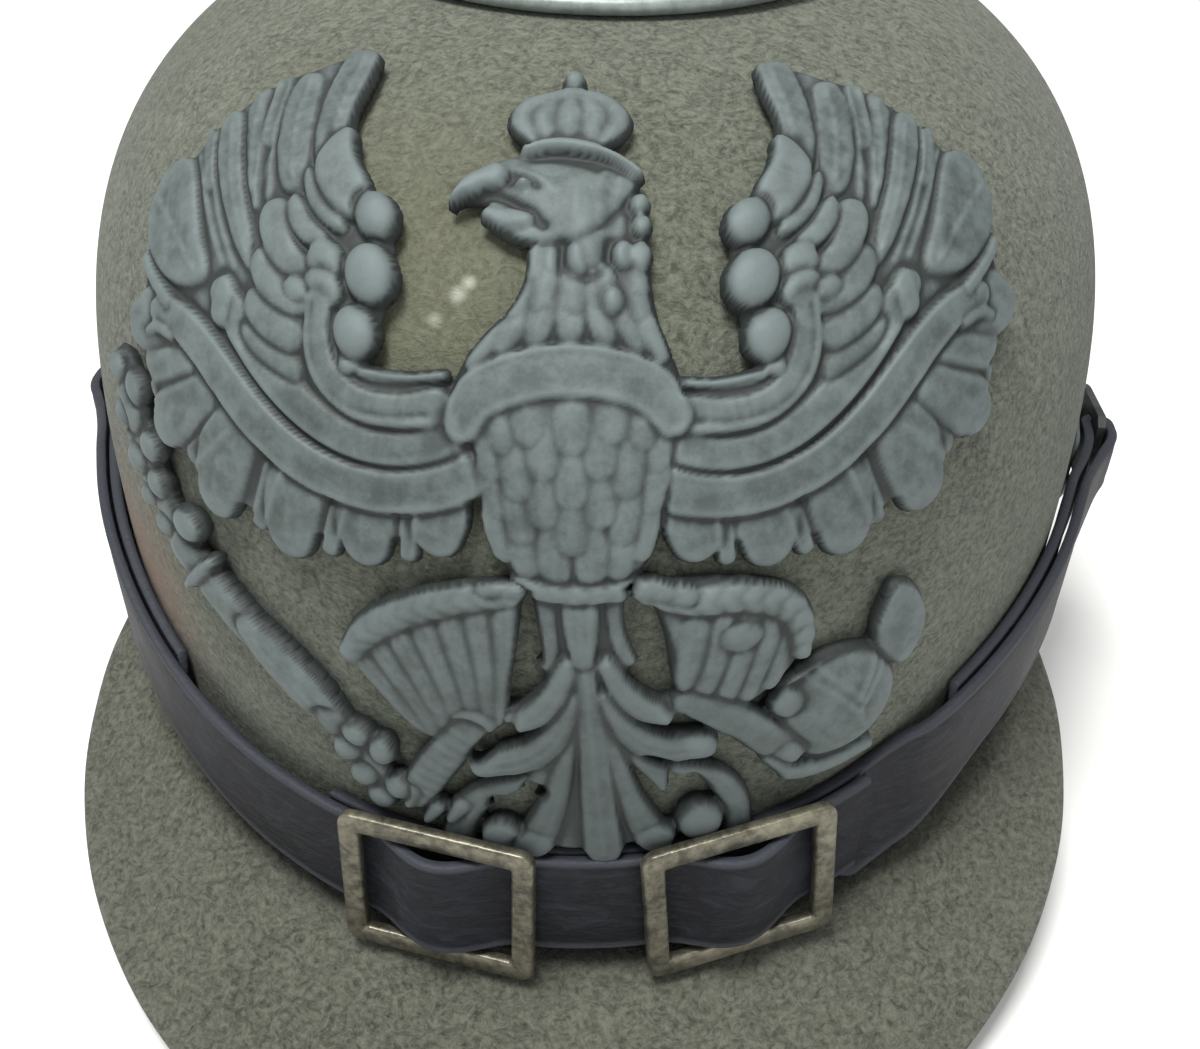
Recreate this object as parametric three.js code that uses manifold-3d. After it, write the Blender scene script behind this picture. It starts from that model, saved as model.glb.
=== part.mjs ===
// Spiked felt helmet with an eagle plate, a two-buckle chin strap and side cockades.
// Millimetres, +Z up, front toward -Y, origin on the resting plane under the middle of the helmet.
// "left" and "right" are as seen by someone who looks at the plate.

import * as THREE from "three";
import { mergeVertices } from "three/addons/utils/BufferGeometryUtils.js";
import Module from "manifold-3d";

const wasm = await Module();
wasm.setup();

// Clearances between neighbouring pieces
const GAP = 0.3;
const PLATE_GAP = 0.5;
const STRAP_GAP = 0.4;

// Crown of the shell: outside sizes, heights counted from the rim line
const CROWN_HALF_WIDTH = 83;
const CROWN_HALF_LENGTH = 98;
const CROWN_HEIGHT = 118.5;
const CROWN_HEM = 5.5;
const CROWN_SQUARENESS = 4.27;
const CROWN_ROUNDNESS = 2.76;
const CROWN_SWELL = 0.072;
const FELT = 2.4;

// Visors: reach out from the crown, half angle of the root, fall per millimetre of reach
const FRONT_REACH = 34.5;
const FRONT_HALF_ANGLE = 76.7;
const VISOR_ROOT_DROP = 4.2;
const REAR_REACH = 25;
const REAR_HALF_ANGLE = 64;
const VISOR_ROOT_RISE = 10;
const VISOR_FALL = 0.936;
const VISOR_FALL_FROM = 5.8;
const VISOR_END_REACH = 2.8;
const VISOR_FELT = 2.4;
const FOOT_CUT = 1.2;

// Spike and its base, radii and heights
const BASE_RADIUS = 39.4;
const BASE_THICKNESS = 1.2;
const BASE_RISE = 4;
const NECK_RADIUS = 14;
const NECK_HEIGHT = 15;
const RING_RADIUS = 15.5;
const SPIKE_FOOT_RADIUS = 9.5;
const SPIKE_HEIGHT = 62;
const SPIKE_TIP_RADIUS = 1.6;

// Chin strap and buckles
const STRAP_WIDTH = 19.2;
const LEATHER = 1.8;
const STRAP_BULGE = 4;
const STRAP_END_WIDTH = 9.5;
const STRAP_LAP = 3;
const BUCKLE_WIDTH = 29.5;
const BUCKLE_HEIGHT = 27.6;
const BUCKLE_BAR = 3.3;
const BUCKLE_METAL = 2;
const BUCKLE_STAND = 4.4;
const BUCKLE_CORNER = 1.6;

// Cockades, posts and strap lugs at the sides
const SIDE_ANGLE = 95.5;
const SIDE_HEIGHT = 28.5;
const COCKADE_RADIUS = 18;
const COCKADE_METAL = 1;
const COCKADE_DISH = 1;
const COCKADE_FLUTES = 11;
const COCKADE_FLUTE_DEPTH = 0.3;
const COCKADE_STAND = 2.6;
const POST_RADIUS = 2.6;
const POST_HEAD_RADIUS = 5;
const POST_HEAD = 2.2;
const LUG_METAL = 1.6;
const LUG_ARM = 1.6;
const LUG_BAR = 3.3;
const LUG_SLOT = 3.2;
const LUG_SLOT_START = 5;
const LUG_STAND = 7.75;

// Eagle plate: place on the crown, thickness of the sheet
const PLATE_TILT = 4.1;
const PLATE_U = 3.2;
const PLATE_V = 76;
const PLATE_SHEET = 1.3;
const PLATE_EDGE = 12;

const FELT_COLOUR = new THREE.MeshStandardMaterial({ color: 0x73776a, roughness: 1, metalness: 0 });
const VISOR_COLOUR = new THREE.MeshStandardMaterial({ color: 0x66685f, roughness: 1, metalness: 0 });
const ZINC = new THREE.MeshStandardMaterial({ color: 0x667070, roughness: 0.55, metalness: 0.6 });
const STEEL = new THREE.MeshStandardMaterial({ color: 0x78817f, roughness: 0.5, metalness: 0.7 });
const BUCKLE_STEEL = new THREE.MeshStandardMaterial({ color: 0x6e6c5a, roughness: 0.4, metalness: 0.8 });
const STRAP_LEATHER = new THREE.MeshStandardMaterial({ color: 0x2c2f37, roughness: 0.6, metalness: 0 });

const rad = (degrees) => (degrees * Math.PI) / 180;

// Straight-line reading of a table whose rows are [x, y], sorted by x.
function read(table, x) {
  const last = table.length - 1;
  if (x <= table[0][0]) return table[0][1];
  if (x >= table[last][0]) return table[last][1];
  const i = table.findIndex((row) => row[0] > x);
  const [x0, y0] = table[i - 1];
  const [x1, y1] = table[i];
  return y0 + ((y1 - y0) * (x - x0)) / (x1 - x0);
}

// Height of the strap's middle line: [degrees round from the front, height above the rim line]
const STRAP_LINE = [
  [-96, 28.5], [-87, 28.5], [-79, 28.1], [-70, 27], [-60, 24], [-45, 17], [-32, 12], [-20, 9], [-10, 8.3],
  [0, 8], [9, 8.2], [19, 9.4], [29, 12.2], [45, 20.5], [60, 25.6], [70, 27.4], [79, 28.3], [87, 28.5],
  [96, 28.5],
];

// Share of the reach that a visor keeps: [share of the half angle, share of the reach]
const VISOR_SHAPE = [
  [0, 1], [0.15, 0.985], [0.3, 0.92], [0.45, 0.81], [0.6, 0.67], [0.75, 0.5], [0.9, 0.27], [1, 0],
];

const frontFall = VISOR_FALL * FRONT_REACH - VISOR_FALL_FROM;
const RIM = frontFall + VISOR_FELT * 0.8 - FOOT_CUT;
const CENTRE_Y = (FRONT_REACH - REAR_REACH) / 2;

// Outline of the crown at a height over the rim line, as a share of its half sizes.
function crownShare(z) {
  const s = Math.min(Math.max(z / CROWN_HEIGHT, 0), 1);
  const top = Math.pow(Math.max(1 - Math.pow(s, CROWN_SQUARENESS), 0), 1 / CROWN_ROUNDNESS);
  return top * (1 + CROWN_SWELL * Math.pow(Math.sin((Math.PI * s) / 2), 1.5));
}

function crownPoint(theta, z) {
  const share = crownShare(z);
  const x = CROWN_HALF_WIDTH * share * Math.sin(theta);
  const y = -CROWN_HALF_LENGTH * share * Math.cos(theta);
  return new THREE.Vector3(x, y + CENTRE_Y, z + RIM);
}

function crownNormal(theta, z) {
  const d = 0.001;
  const up = crownPoint(theta, z + d).sub(crownPoint(theta, z - d));
  const round = crownPoint(theta + d, z).sub(crownPoint(theta - d, z));
  return round.cross(up).normalize();
}

// Point off the crown's surface, straight out of it.
function offCrown(theta, z, off) {
  return crownPoint(theta, z).addScaledVector(crownNormal(theta, z), off);
}

// Length along the front of the crown from the rim line up, and its inverse.
const frontLine = [[0, 0]];
for (let i = 1; i <= 400; i += 1) {
  const z = CROWN_HEIGHT * Math.pow(Math.sin((Math.PI / 2) * (i / 400)), 2 / CROWN_SQUARENESS);
  const [s, before] = frontLine[i - 1];
  const out = CROWN_HALF_LENGTH * (crownShare(z) - crownShare(before));
  frontLine.push([s + Math.hypot(z - before, out), z]);
}

// Closed, merged geometry without flat slivers, its faces pointing out.
function tidy(geometry) {
  const bare = geometry.clone();
  bare.deleteAttribute("normal");
  bare.deleteAttribute("uv");
  const merged = mergeVertices(bare.index ? bare.toNonIndexed() : bare, 1e-4);
  const position = merged.attributes.position;
  const corners = [];
  let volume = 0;
  const [a, b, c] = [new THREE.Vector3(), new THREE.Vector3(), new THREE.Vector3()];
  for (let i = 0; i < merged.index.count; i += 3) {
    const [ia, ib, ic] = [0, 1, 2].map((k) => merged.index.getX(i + k));
    if (ia === ib || ib === ic || ic === ia) continue;
    corners.push([ia, ib, ic]);
    a.fromBufferAttribute(position, ia);
    b.fromBufferAttribute(position, ib);
    c.fromBufferAttribute(position, ic);
    volume += a.dot(b.cross(c));
  }
  if (volume < 0) corners.forEach((corner) => corner.reverse());
  merged.setIndex(corners.flat());
  return merged;
}

function toSolid(geometry) {
  const closed = tidy(geometry);
  const vertProperties = new Float32Array(closed.attributes.position.array);
  const triVerts = new Uint32Array(closed.index.array);
  return new wasm.Manifold(new wasm.Mesh({ numProp: 3, vertProperties, triVerts }));
}

function toGeometry(solid) {
  const mesh = solid.getMesh();
  const geometry = new THREE.BufferGeometry();
  const points = new Float32Array(mesh.vertProperties);
  geometry.setAttribute("position", new THREE.BufferAttribute(points, 3));
  geometry.setIndex(Array.from(mesh.triVerts));
  return geometry;
}

// Box of unit size, cut into the given steps, each corner moved by place(u, v, w), all 0 to 1.
function bentBox(stepsU, stepsV, stepsW, place) {
  const box = new THREE.BoxGeometry(1, 1, 1, stepsU, stepsV, stepsW);
  const position = box.attributes.position;
  const p = new THREE.Vector3();
  for (let i = 0; i < position.count; i += 1) {
    p.fromBufferAttribute(position, i).addScalar(0.5);
    position.setXYZ(i, ...place(p.x, p.y, p.z).toArray());
  }
  return tidy(box);
}

function part(name, geometry, material) {
  const mesh = new THREE.Mesh(geometry, material);
  mesh.name = name;
  return mesh;
}

const helmet = new THREE.Group();
helmet.name = "helmet";

// Crown: one hollow felt shell, open below.
function crownShell() {
  const levels = [0, 30, 56, 77, 91, 101, 108, 113, 116.4];
  const inside = 1 - FELT / CROWN_HALF_WIDTH;
  const lower = (CROWN_HEIGHT - FELT) / CROWN_HEIGHT;
  const inner = levels.map((z) => new THREE.Vector2(crownShare(z) * inside, z * lower));
  const outer = levels.map((z) => new THREE.Vector2(crownShare(z), z));
  const profile = [
    new THREE.Vector2(0, CROWN_HEIGHT - FELT),
    ...inner.reverse(),
    new THREE.Vector2(inside, -CROWN_HEM),
    new THREE.Vector2(1, -CROWN_HEM),
    ...outer,
    new THREE.Vector2(0, CROWN_HEIGHT),
  ];
  const lathe = new THREE.LatheGeometry(profile, 42);
  lathe.rotateX(Math.PI / 2);
  lathe.scale(CROWN_HALF_WIDTH, CROWN_HALF_LENGTH, 1);
  lathe.translate(0, CENTRE_Y, RIM);
  return tidy(lathe);
}

helmet.add(part("crown_shell", crownShell(), FELT_COLOUR));

// Visor: a felt sheet that leaves the crown at its root and falls outward, cut flat where it rests.
function visor(reach, halfAngle, turn) {
  const fall = (VISOR_FALL * FRONT_REACH) / reach;
  const lean = Math.atan(fall);
  const sheet = bentBox(28, 1, 3, (u, v, w) => {
    const share = 2 * u - 1;
    const theta = rad(halfAngle) * share + turn;
    const far = Math.max(read(VISOR_SHAPE, Math.abs(share)) * reach, VISOR_END_REACH);
    const rootZ = VISOR_ROOT_RISE * share * share - VISOR_ROOT_DROP;
    const edgeZ = VISOR_FALL_FROM - fall * far;
    const under = v < 0.5 ? VISOR_FELT : 0;
    const off = Math.max(GAP + (far - GAP) * w - under * Math.sin(lean), GAP);
    const z = rootZ + (edgeZ - rootZ) * w - under * Math.cos(lean);
    const x = CROWN_HALF_WIDTH * Math.sin(theta);
    const y = -CROWN_HALF_LENGTH * Math.cos(theta);
    const out = new THREE.Vector2(
      Math.sin(theta) / CROWN_HALF_WIDTH,
      -Math.cos(theta) / CROWN_HALF_LENGTH,
    ).setLength(off);
    return new THREE.Vector3(x + out.x, y + out.y + CENTRE_Y, z + RIM);
  });
  const ground = new THREE.BoxGeometry(600, 600, 100).translate(0, 0, -50);
  return toGeometry(toSolid(sheet).subtract(toSolid(ground)));
}

helmet.add(part("front_visor", visor(FRONT_REACH, FRONT_HALF_ANGLE, 0), VISOR_COLOUR));
helmet.add(part("rear_visor", visor(REAR_REACH, REAR_HALF_ANGLE, Math.PI), VISOR_COLOUR));

// Turned piece: rows of [radius, height], standing on the axis of the crown.
function turned(rows, steps) {
  const lathe = new THREE.LatheGeometry(rows.map(([r, z]) => new THREE.Vector2(r, z)), steps);
  lathe.rotateX(Math.PI / 2);
  return tidy(lathe);
}

function onCrownTop(geometry, name, lift) {
  const mesh = part(name, geometry, STEEL);
  mesh.position.set(0, CENTRE_Y, RIM + CROWN_HEIGHT + GAP + lift);
  return mesh;
}

const edge = BASE_RADIUS;
const neckFoot = BASE_THICKNESS + BASE_RISE;
const baseRows = [
  [0, 0], [edge - 3.2, 0], [edge - 2, -1.4], [edge - 0.6, -1.6], [edge, -0.6], [edge - 0.3, 0.6],
  [edge - 1.4, 1.1], [edge - 2.6, 0.7], [edge - 4, BASE_THICKNESS], [edge * 0.7, BASE_THICKNESS + 0.9],
  [NECK_RADIUS + 5, neckFoot - 1.2], [NECK_RADIUS + 1.2, neckFoot], [NECK_RADIUS, neckFoot + 1.6],
  [NECK_RADIUS - 0.8, neckFoot + NECK_HEIGHT - 2], [NECK_RADIUS + 0.6, neckFoot + NECK_HEIGHT - 1.2],
  [NECK_RADIUS + 0.6, neckFoot + NECK_HEIGHT], [0, neckFoot + NECK_HEIGHT],
];
helmet.add(onCrownTop(turned(baseRows, 26), "spike_base", 0));

const spikeRows = [
  [0, 0], [RING_RADIUS - 1, 0], [RING_RADIUS, 1.2], [RING_RADIUS, 3], [RING_RADIUS - 1.2, 4.4],
  [SPIKE_FOOT_RADIUS + 1.4, 5.4], [SPIKE_FOOT_RADIUS + 1.2, 7], [SPIKE_FOOT_RADIUS, 8.4],
  [SPIKE_FOOT_RADIUS * 0.62, SPIKE_HEIGHT * 0.45], [SPIKE_TIP_RADIUS + 0.6, SPIKE_HEIGHT * 0.9],
  [SPIKE_TIP_RADIUS, SPIKE_HEIGHT - 1.2], [SPIKE_TIP_RADIUS * 0.5, SPIKE_HEIGHT - 0.2], [0, SPIKE_HEIGHT],
];
helmet.add(onCrownTop(turned(spikeRows, 18), "spike", neckFoot + NECK_HEIGHT + GAP));

// Mesh seated on the crown: its own X runs round the crown, its Z points straight out.
function seat(mesh, degrees, z, off, spin = 0) {
  const theta = rad(degrees);
  const out = crownNormal(theta, z);
  const round = crownPoint(theta + 0.001, z).sub(crownPoint(theta - 0.001, z)).normalize();
  const up = new THREE.Vector3().crossVectors(out, round);
  mesh.quaternion.setFromRotationMatrix(new THREE.Matrix4().makeBasis(round, up, out));
  mesh.rotateZ(rad(spin));
  mesh.position.copy(offCrown(theta, z, off));
  return mesh;
}

// Straps: between the buckles the left half lies over the right half, and in both buckle windows it
// bows out between the bars.
const BUCKLES = [
  { side: "left", degrees: -9.8, z: 8.3, spin: -1.5 },
  { side: "right", degrees: 18.7, z: 9.4, spin: 5.5 },
];
const bowHalf = ((BUCKLE_WIDTH / 2 - BUCKLE_BAR - GAP) / CROWN_HALF_WIDTH) * (180 / Math.PI);
const lapHalf = (BUCKLE_WIDTH / 2 / CROWN_HALF_WIDTH) * (180 / Math.PI) + STRAP_LAP;
const outerLayer = STRAP_GAP + LEATHER + STRAP_GAP;

function bow(degrees) {
  const shares = BUCKLES.map((buckle) => {
    const t = Math.min(Math.abs(degrees - buckle.degrees) / bowHalf, 1);
    return 0.5 + 0.5 * Math.cos(Math.PI * t);
  });
  return STRAP_BULGE * Math.max(...shares);
}

// At the sides each half is doubled: it runs out to the lug, folds round its bar and comes back.
// Middle of the leather there: [degrees from the front, off the felt for the inner layer, for the outer]
const innerMiddle = STRAP_GAP + LEATHER / 2;
const outerMiddle = outerLayer + LEATHER / 2;
const sideArc = rad(1) * (CROWN_HALF_LENGTH + LUG_STAND + LUG_METAL);
const barMiddle = LUG_STAND + LUG_METAL / 2 + 0.45;
const foldRadius = LUG_METAL / 2 + GAP * 1.5 + LEATHER / 2;
const foldAngle = SIDE_ANGLE - (LUG_SLOT_START + LUG_SLOT + 0.4) / sideArc;
const SIDE_LAYERS = [
  [44, 0, 0], [49.6, 0, 0], [55.2, 0, 0], [60.8, 0, 0], [66.4, 0, 0], [72, 0, 0], [77, 0.1, 0.1],
  [81, 0.38, 0.32], [85.2, 0.76, 0.62], [88.4, 0.98, 1], [foldAngle, 1, 1],
];

function sideRoute(sign) {
  const rise = (from, to, share) => from + (to - from) * share;
  const inner = SIDE_LAYERS.map(([degrees, share]) => [
    sign * degrees,
    rise(innerMiddle, barMiddle - foldRadius, share),
  ]);
  const outer = SIDE_LAYERS.map(([degrees, , share]) => [
    sign * degrees,
    rise(outerMiddle, barMiddle + foldRadius, share),
  ]);
  const fold = [30, 60, 90, 120, 150].map((turn) => [
    sign * (foldAngle + (Math.sin(rad(turn)) * foldRadius) / sideArc),
    barMiddle - Math.cos(rad(turn)) * foldRadius,
  ]);
  return [...inner, ...fold, ...outer.reverse()];
}

function strapRoute(side) {
  if (side === "left") {
    const front = [];
    const end = BUCKLES[1].degrees + lapHalf;
    for (let i = 1; i <= 36; i += 1) {
      const degrees = -40 + ((end + 40) * i) / 36;
      front.push([degrees, outerMiddle + bow(degrees)]);
    }
    return [...sideRoute(-1), [-40, outerMiddle], ...front];
  }
  const start = BUCKLES[0].degrees - lapHalf + 1;
  const flat = [];
  for (let i = 0; i <= 10; i += 1) flat.push([start + ((34.5 - start) * i) / 10, innerMiddle]);
  const climb = [[37, 0.2], [39.5, 0.8]].map(([degrees, share]) => [
    degrees,
    innerMiddle + (outerMiddle - innerMiddle) * share,
  ]);
  return [...flat, ...climb, ...sideRoute(1).reverse()];
}

// Leather along a route of [degrees, off the felt], narrower towards the lug.
function strap(side) {
  const route = strapRoute(side);
  const last = route.length - 1;
  return bentBox(last, 1, 1, (u, v, w) => {
    const i = Math.round(u * last);
    const [degrees, off] = route[i];
    const [before, after] = [route[Math.max(i - 1, 0)], route[Math.min(i + 1, last)]];
    const along = new THREE.Vector2((after[0] - before[0]) * sideArc, after[1] - before[1]).normalize();
    const across = (w - 0.5) * LEATHER;
    const taper = THREE.MathUtils.smoothstep(Math.abs(degrees), 72, 86);
    const width = STRAP_WIDTH + (STRAP_END_WIDTH - STRAP_WIDTH) * taper;
    const z = read(STRAP_LINE, degrees) + (v - 0.5) * width;
    return offCrown(rad(degrees - (along.y * across) / sideArc), z, off + along.x * across);
  });
}

helmet.add(part("strap_left", strap("left"), STRAP_LEATHER));
helmet.add(part("strap_right", strap("right"), STRAP_LEATHER));

function roundedRectangle(path, halfWidth, halfHeight, corner) {
  const corners = [[1, -1, -90], [1, 1, 0], [-1, 1, 90], [-1, -1, 180]];
  corners.forEach(([sx, sy, start], i) => {
    const [cx, cy] = [sx * (halfWidth - corner), sy * (halfHeight - corner)];
    for (const turn of [0, 45, 90]) {
      const x = cx + corner * Math.cos(rad(start + turn));
      const y = cy + corner * Math.sin(rad(start + turn));
      if (i === 0 && turn === 0) path.moveTo(x, y);
      else path.lineTo(x, y);
    }
  });
  path.closePath();
  return path;
}

function buckleFrame() {
  const halfWidth = BUCKLE_WIDTH / 2;
  const halfHeight = BUCKLE_HEIGHT / 2;
  const shape = roundedRectangle(new THREE.Shape(), halfWidth, halfHeight, BUCKLE_CORNER);
  const window = roundedRectangle(new THREE.Path(), halfWidth - BUCKLE_BAR, halfHeight - BUCKLE_BAR, 0.6);
  shape.holes.push(window);
  return tidy(new THREE.ExtrudeGeometry(shape, { depth: BUCKLE_METAL, bevelEnabled: false }));
}

for (const { side, degrees, z, spin } of BUCKLES) {
  const mesh = part(`buckle_${side}`, buckleFrame(), BUCKLE_STEEL);
  helmet.add(seat(mesh, degrees, z, BUCKLE_STAND, spin));
}

// Side fittings: post, strap lug and cockade on one centre at each side.
function lug(forward) {
  const half = STRAP_END_WIDTH / 2 + STRAP_GAP + LUG_ARM;
  const length = LUG_SLOT_START + LUG_SLOT + LUG_BAR;
  const shape = new THREE.Shape();
  shape.moveTo(length, -half + 1.5);
  shape.lineTo(length, half - 1.5);
  shape.lineTo(length - 1.5, half);
  for (let turn = 90; turn <= 270; turn += 30) {
    shape.lineTo(Math.cos(rad(turn)) * half, Math.sin(rad(turn)) * half);
  }
  shape.lineTo(length - 1.5, -half);
  shape.closePath();
  shape.holes.push(new THREE.Path().absarc(0, 0, POST_RADIUS + GAP, 0, 2 * Math.PI, true));
  const slot = new THREE.Path();
  slot.moveTo(LUG_SLOT_START, LUG_ARM - half);
  slot.lineTo(LUG_SLOT_START, half - LUG_ARM);
  slot.lineTo(LUG_SLOT_START + LUG_SLOT, half - LUG_ARM);
  slot.lineTo(LUG_SLOT_START + LUG_SLOT, LUG_ARM - half);
  slot.closePath();
  shape.holes.push(slot);
  const plate = new THREE.ExtrudeGeometry(shape, {
    depth: LUG_METAL,
    bevelEnabled: false,
    curveSegments: 8,
  });
  if (forward < 0) plate.rotateZ(Math.PI);
  return tidy(plate);
}

function cockade() {
  const hole = POST_RADIUS + GAP;
  const face = [[hole, 0], [COCKADE_RADIUS * 0.55, 0], [COCKADE_RADIUS, 1]];
  const back = face.map(([r, t]) => [r, -COCKADE_DISH * t]);
  const front = face.map(([r, t]) => [r, COCKADE_METAL - COCKADE_DISH * t]).reverse();
  const rows = [...back, ...front, back[0]];
  const lathe = new THREE.LatheGeometry(rows.map(([r, z]) => new THREE.Vector2(r, z)), COCKADE_FLUTES * 4);
  lathe.rotateX(Math.PI / 2);
  const position = lathe.attributes.position;
  for (let i = 0; i < position.count; i += 1) {
    const [x, y] = [position.getX(i), position.getY(i)];
    const share = THREE.MathUtils.smoothstep(Math.hypot(x, y) / COCKADE_RADIUS, 0.45, 1);
    const wave = COCKADE_FLUTE_DEPTH * share * Math.cos(COCKADE_FLUTES * Math.atan2(y, x));
    position.setXYZ(i, x, y, position.getZ(i) + wave);
  }
  return tidy(lathe);
}

const postLength = LUG_STAND + LUG_METAL;
const postRows = [
  [0, 0], [POST_RADIUS, 0], [POST_RADIUS, postLength], [POST_HEAD_RADIUS, postLength],
  [POST_HEAD_RADIUS * 0.85, postLength + POST_HEAD * 0.6],
  [POST_HEAD_RADIUS * 0.45, postLength + POST_HEAD], [0, postLength + POST_HEAD],
];

for (const [side, sign] of [["left", -1], ["right", 1]]) {
  const degrees = sign * SIDE_ANGLE;
  const post = part(`post_${side}`, turned(postRows, 10), STEEL);
  helmet.add(seat(post, degrees, SIDE_HEIGHT, GAP));
  const plate = part(`lug_${side}`, lug(-sign), STEEL);
  helmet.add(seat(plate, degrees, SIDE_HEIGHT, LUG_STAND));
  helmet.add(seat(part(`cockade_${side}`, cockade(), ZINC), degrees, SIDE_HEIGHT, COCKADE_STAND));
}

// Eagle plate, drawn flat: p to the viewer's right and q up, both from the middle of the plate.
const plateSolids = [];

function slab(points, top) {
  const shape = new THREE.Shape(points.map(([p, q]) => new THREE.Vector2(p, q)));
  plateSolids.push(toSolid(new THREE.ExtrudeGeometry(shape, { depth: top, bevelEnabled: false })));
}

// Strip along rows of [p, q, width], its far end drawn out to a blunt tip.
function limb(rows, top) {
  const [right, left] = [[], []];
  rows.forEach(([p, q, width], i) => {
    const [p0, q0] = rows[Math.max(i - 1, 0)];
    const [p1, q1] = rows[Math.min(i + 1, rows.length - 1)];
    const along = new THREE.Vector2(p1 - p0, q1 - q0).setLength(width / 2);
    right.push([p + along.y, q - along.x]);
    left.unshift([p - along.y, q + along.x]);
  });
  const [p0, q0] = rows[rows.length - 2];
  const [p1, q1, width] = rows[rows.length - 1];
  const tip = new THREE.Vector2(p1 - p0, q1 - q0).setLength(width * 0.3);
  slab([...right, [p1 + tip.x, q1 + tip.y], ...left], top);
}

function dome(p, q, radiusP, radiusQ, top) {
  const ball = new THREE.SphereGeometry(1, 6, 4);
  ball.rotateX(Math.PI / 2);
  const middle = PLATE_SHEET * 0.6;
  ball.scale(radiusP, radiusQ, top - middle);
  ball.translate(p, q, middle);
  plateSolids.push(toSolid(ball));
}

// Feather rows: [base p, base q, tip p, tip q, width, height of its face]
const FEATHERS = [
  [27.5, 41, 26.4, 55.5, 3.6, 1.8], [29, 38, 30.5, 55.5, 4.6, 2], [31, 37, 35, 52, 5, 1.8],
  [33, 35, 39.5, 48, 5.4, 2], [35, 33, 44, 43.8, 5.6, 1.8], [37, 31, 48.6, 39, 5.8, 2],
  [39, 29, 52, 34.5, 5.8, 1.8], [41, 26, 56, 29.5, 6.4, 2], [43, 22, 59, 23.5, 7.4, 1.8],
  [45, 18, 61.5, 17.5, 5.4, 2], [46, 13, 64, 10, 8.2, 1.8], [44, 8, 61, 3, 7, 2],
  [40, 6, 56.5, -1.5, 7.6, 2.2], [37, 3, 48, -7.6, 8.4, 2], [31, 1, 36.5, -10.5, 8.2, 2.2],
  [25.5, 1, 24.8, -9.4, 7.8, 2], [17, 1, 15, -7.2, 8, 2.2],
  [33, 30, 38, 42, 5.4, 2.5], [35, 27, 43, 37, 5.6, 2.7], [36, 24, 46.5, 31.5, 5.6, 2.5],
  [36, 21, 46.5, 25, 5.4, 2.7], [28, 28, 37.5, 31, 4.8, 3.1], [28, 25, 38, 25.8, 4.8, 3.3],
  [29, 21, 38.4, 20.6, 4.2, 3.1], [29, 17, 38.6, 16.6, 3.8, 3.3],
];
const WING = [
  [11, -3], [16, -5], [25, -7], [36, -8], [47, -6], [55, -2.5], [60, 3], [62.5, 9], [62.5, 14],
  [61, 20], [58, 27], [54, 33], [50, 38], [45, 43], [40, 47.5], [35, 52], [30, 55.5], [26, 56],
  [25.4, 54], [28, 44.6], [26.4, 42.5], [25.8, 39], [23.5, 36], [21, 33], [20.4, 28], [21.4, 21],
  [23, 16.5], [24, 13.6], [14, 13.6], [11, 13],
];
const ARM = [[15, 11, 5.2], [24.5, 10, 5], [28.8, 12.6, 4.6], [29.4, 18, 4.2]];
const RIBBON = [
  [12.4, 3, 7.4], [16, 0.9, 6.4], [20.7, 0, 5.8], [26.2, 0.4, 5.8], [32.2, 2, 6.4], [37.7, 5, 6.8],
  [42.7, 8.6, 6.8], [47.5, 11.9, 6.6], [52.2, 13.9, 6.2], [56, 13.6, 5.2],
];
// Balls along the wing's shoulder: [p, q, radius]
const SHOULDER = [[22.6, 32.2, 3.2], [22.9, 25, 3.6], [24.6, 18.2, 3.1]];

for (const [stretch, lift] of [[-1.035, 0.9], [0.965, -0.9]]) {
  const at = ([p, q, ...rest]) => [p * stretch, q + lift, ...rest];
  slab(WING.map(at), PLATE_SHEET);
  for (const [p0, q0, p1, q1, width, top] of FEATHERS) {
    limb([at([p0, q0, width * 0.8]), at([p1, q1, width * 0.9])], top);
  }
  limb(ARM.map(at), 2.9);
  limb(RIBBON.map(at), 3.5);
  for (const ball of SHOULDER) {
    const [p, q, radius] = at(ball);
    dome(p, q, radius, radius, radius + 1.2);
  }
}

// Body, head and the small royal crown: outlines as [p, q]
slab([
  [-4.5, 31], [-4, 26], [-6, 23], [-9, 20.5], [-12.5, 16.5], [-14, 13], [-12, 8], [-10, 4], [-9.8, -3],
  [-8, -8], [-4, -11.5], [0, -12.3], [4.5, -11.5], [8.5, -9], [11, -4], [12, 4], [12.5, 9], [14, 13],
  [12.3, 18], [11, 21], [10.2, 26], [10, 31], [9.2, 38], [4, 41],
], 2.6);
slab([
  [9.4, 37.5], [8.6, 40], [5, 42.2], [0, 43.6], [-4, 44], [-8, 43], [-11.5, 40.8], [-13.5, 38.5],
  [-14, 35.6], [-11.5, 36.6], [-9.3, 36.4], [-10, 35], [-9.3, 33.4], [-7, 31.5], [-4, 30.5], [2, 30],
], 2.8);
slab([
  [-4.5, 43], [-4.6, 45], [-7, 46.7], [-7.8, 49], [-7, 52], [-4, 54.7], [-1.2, 55.6], [-1.5, 57.4],
  [0.3, 58.6], [2, 57.4], [1.7, 55.6], [4.5, 54.7], [7.5, 52], [8.6, 48.8], [7.2, 45.8], [4.8, 44.6],
  [5, 41.5],
], 2.2);
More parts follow.
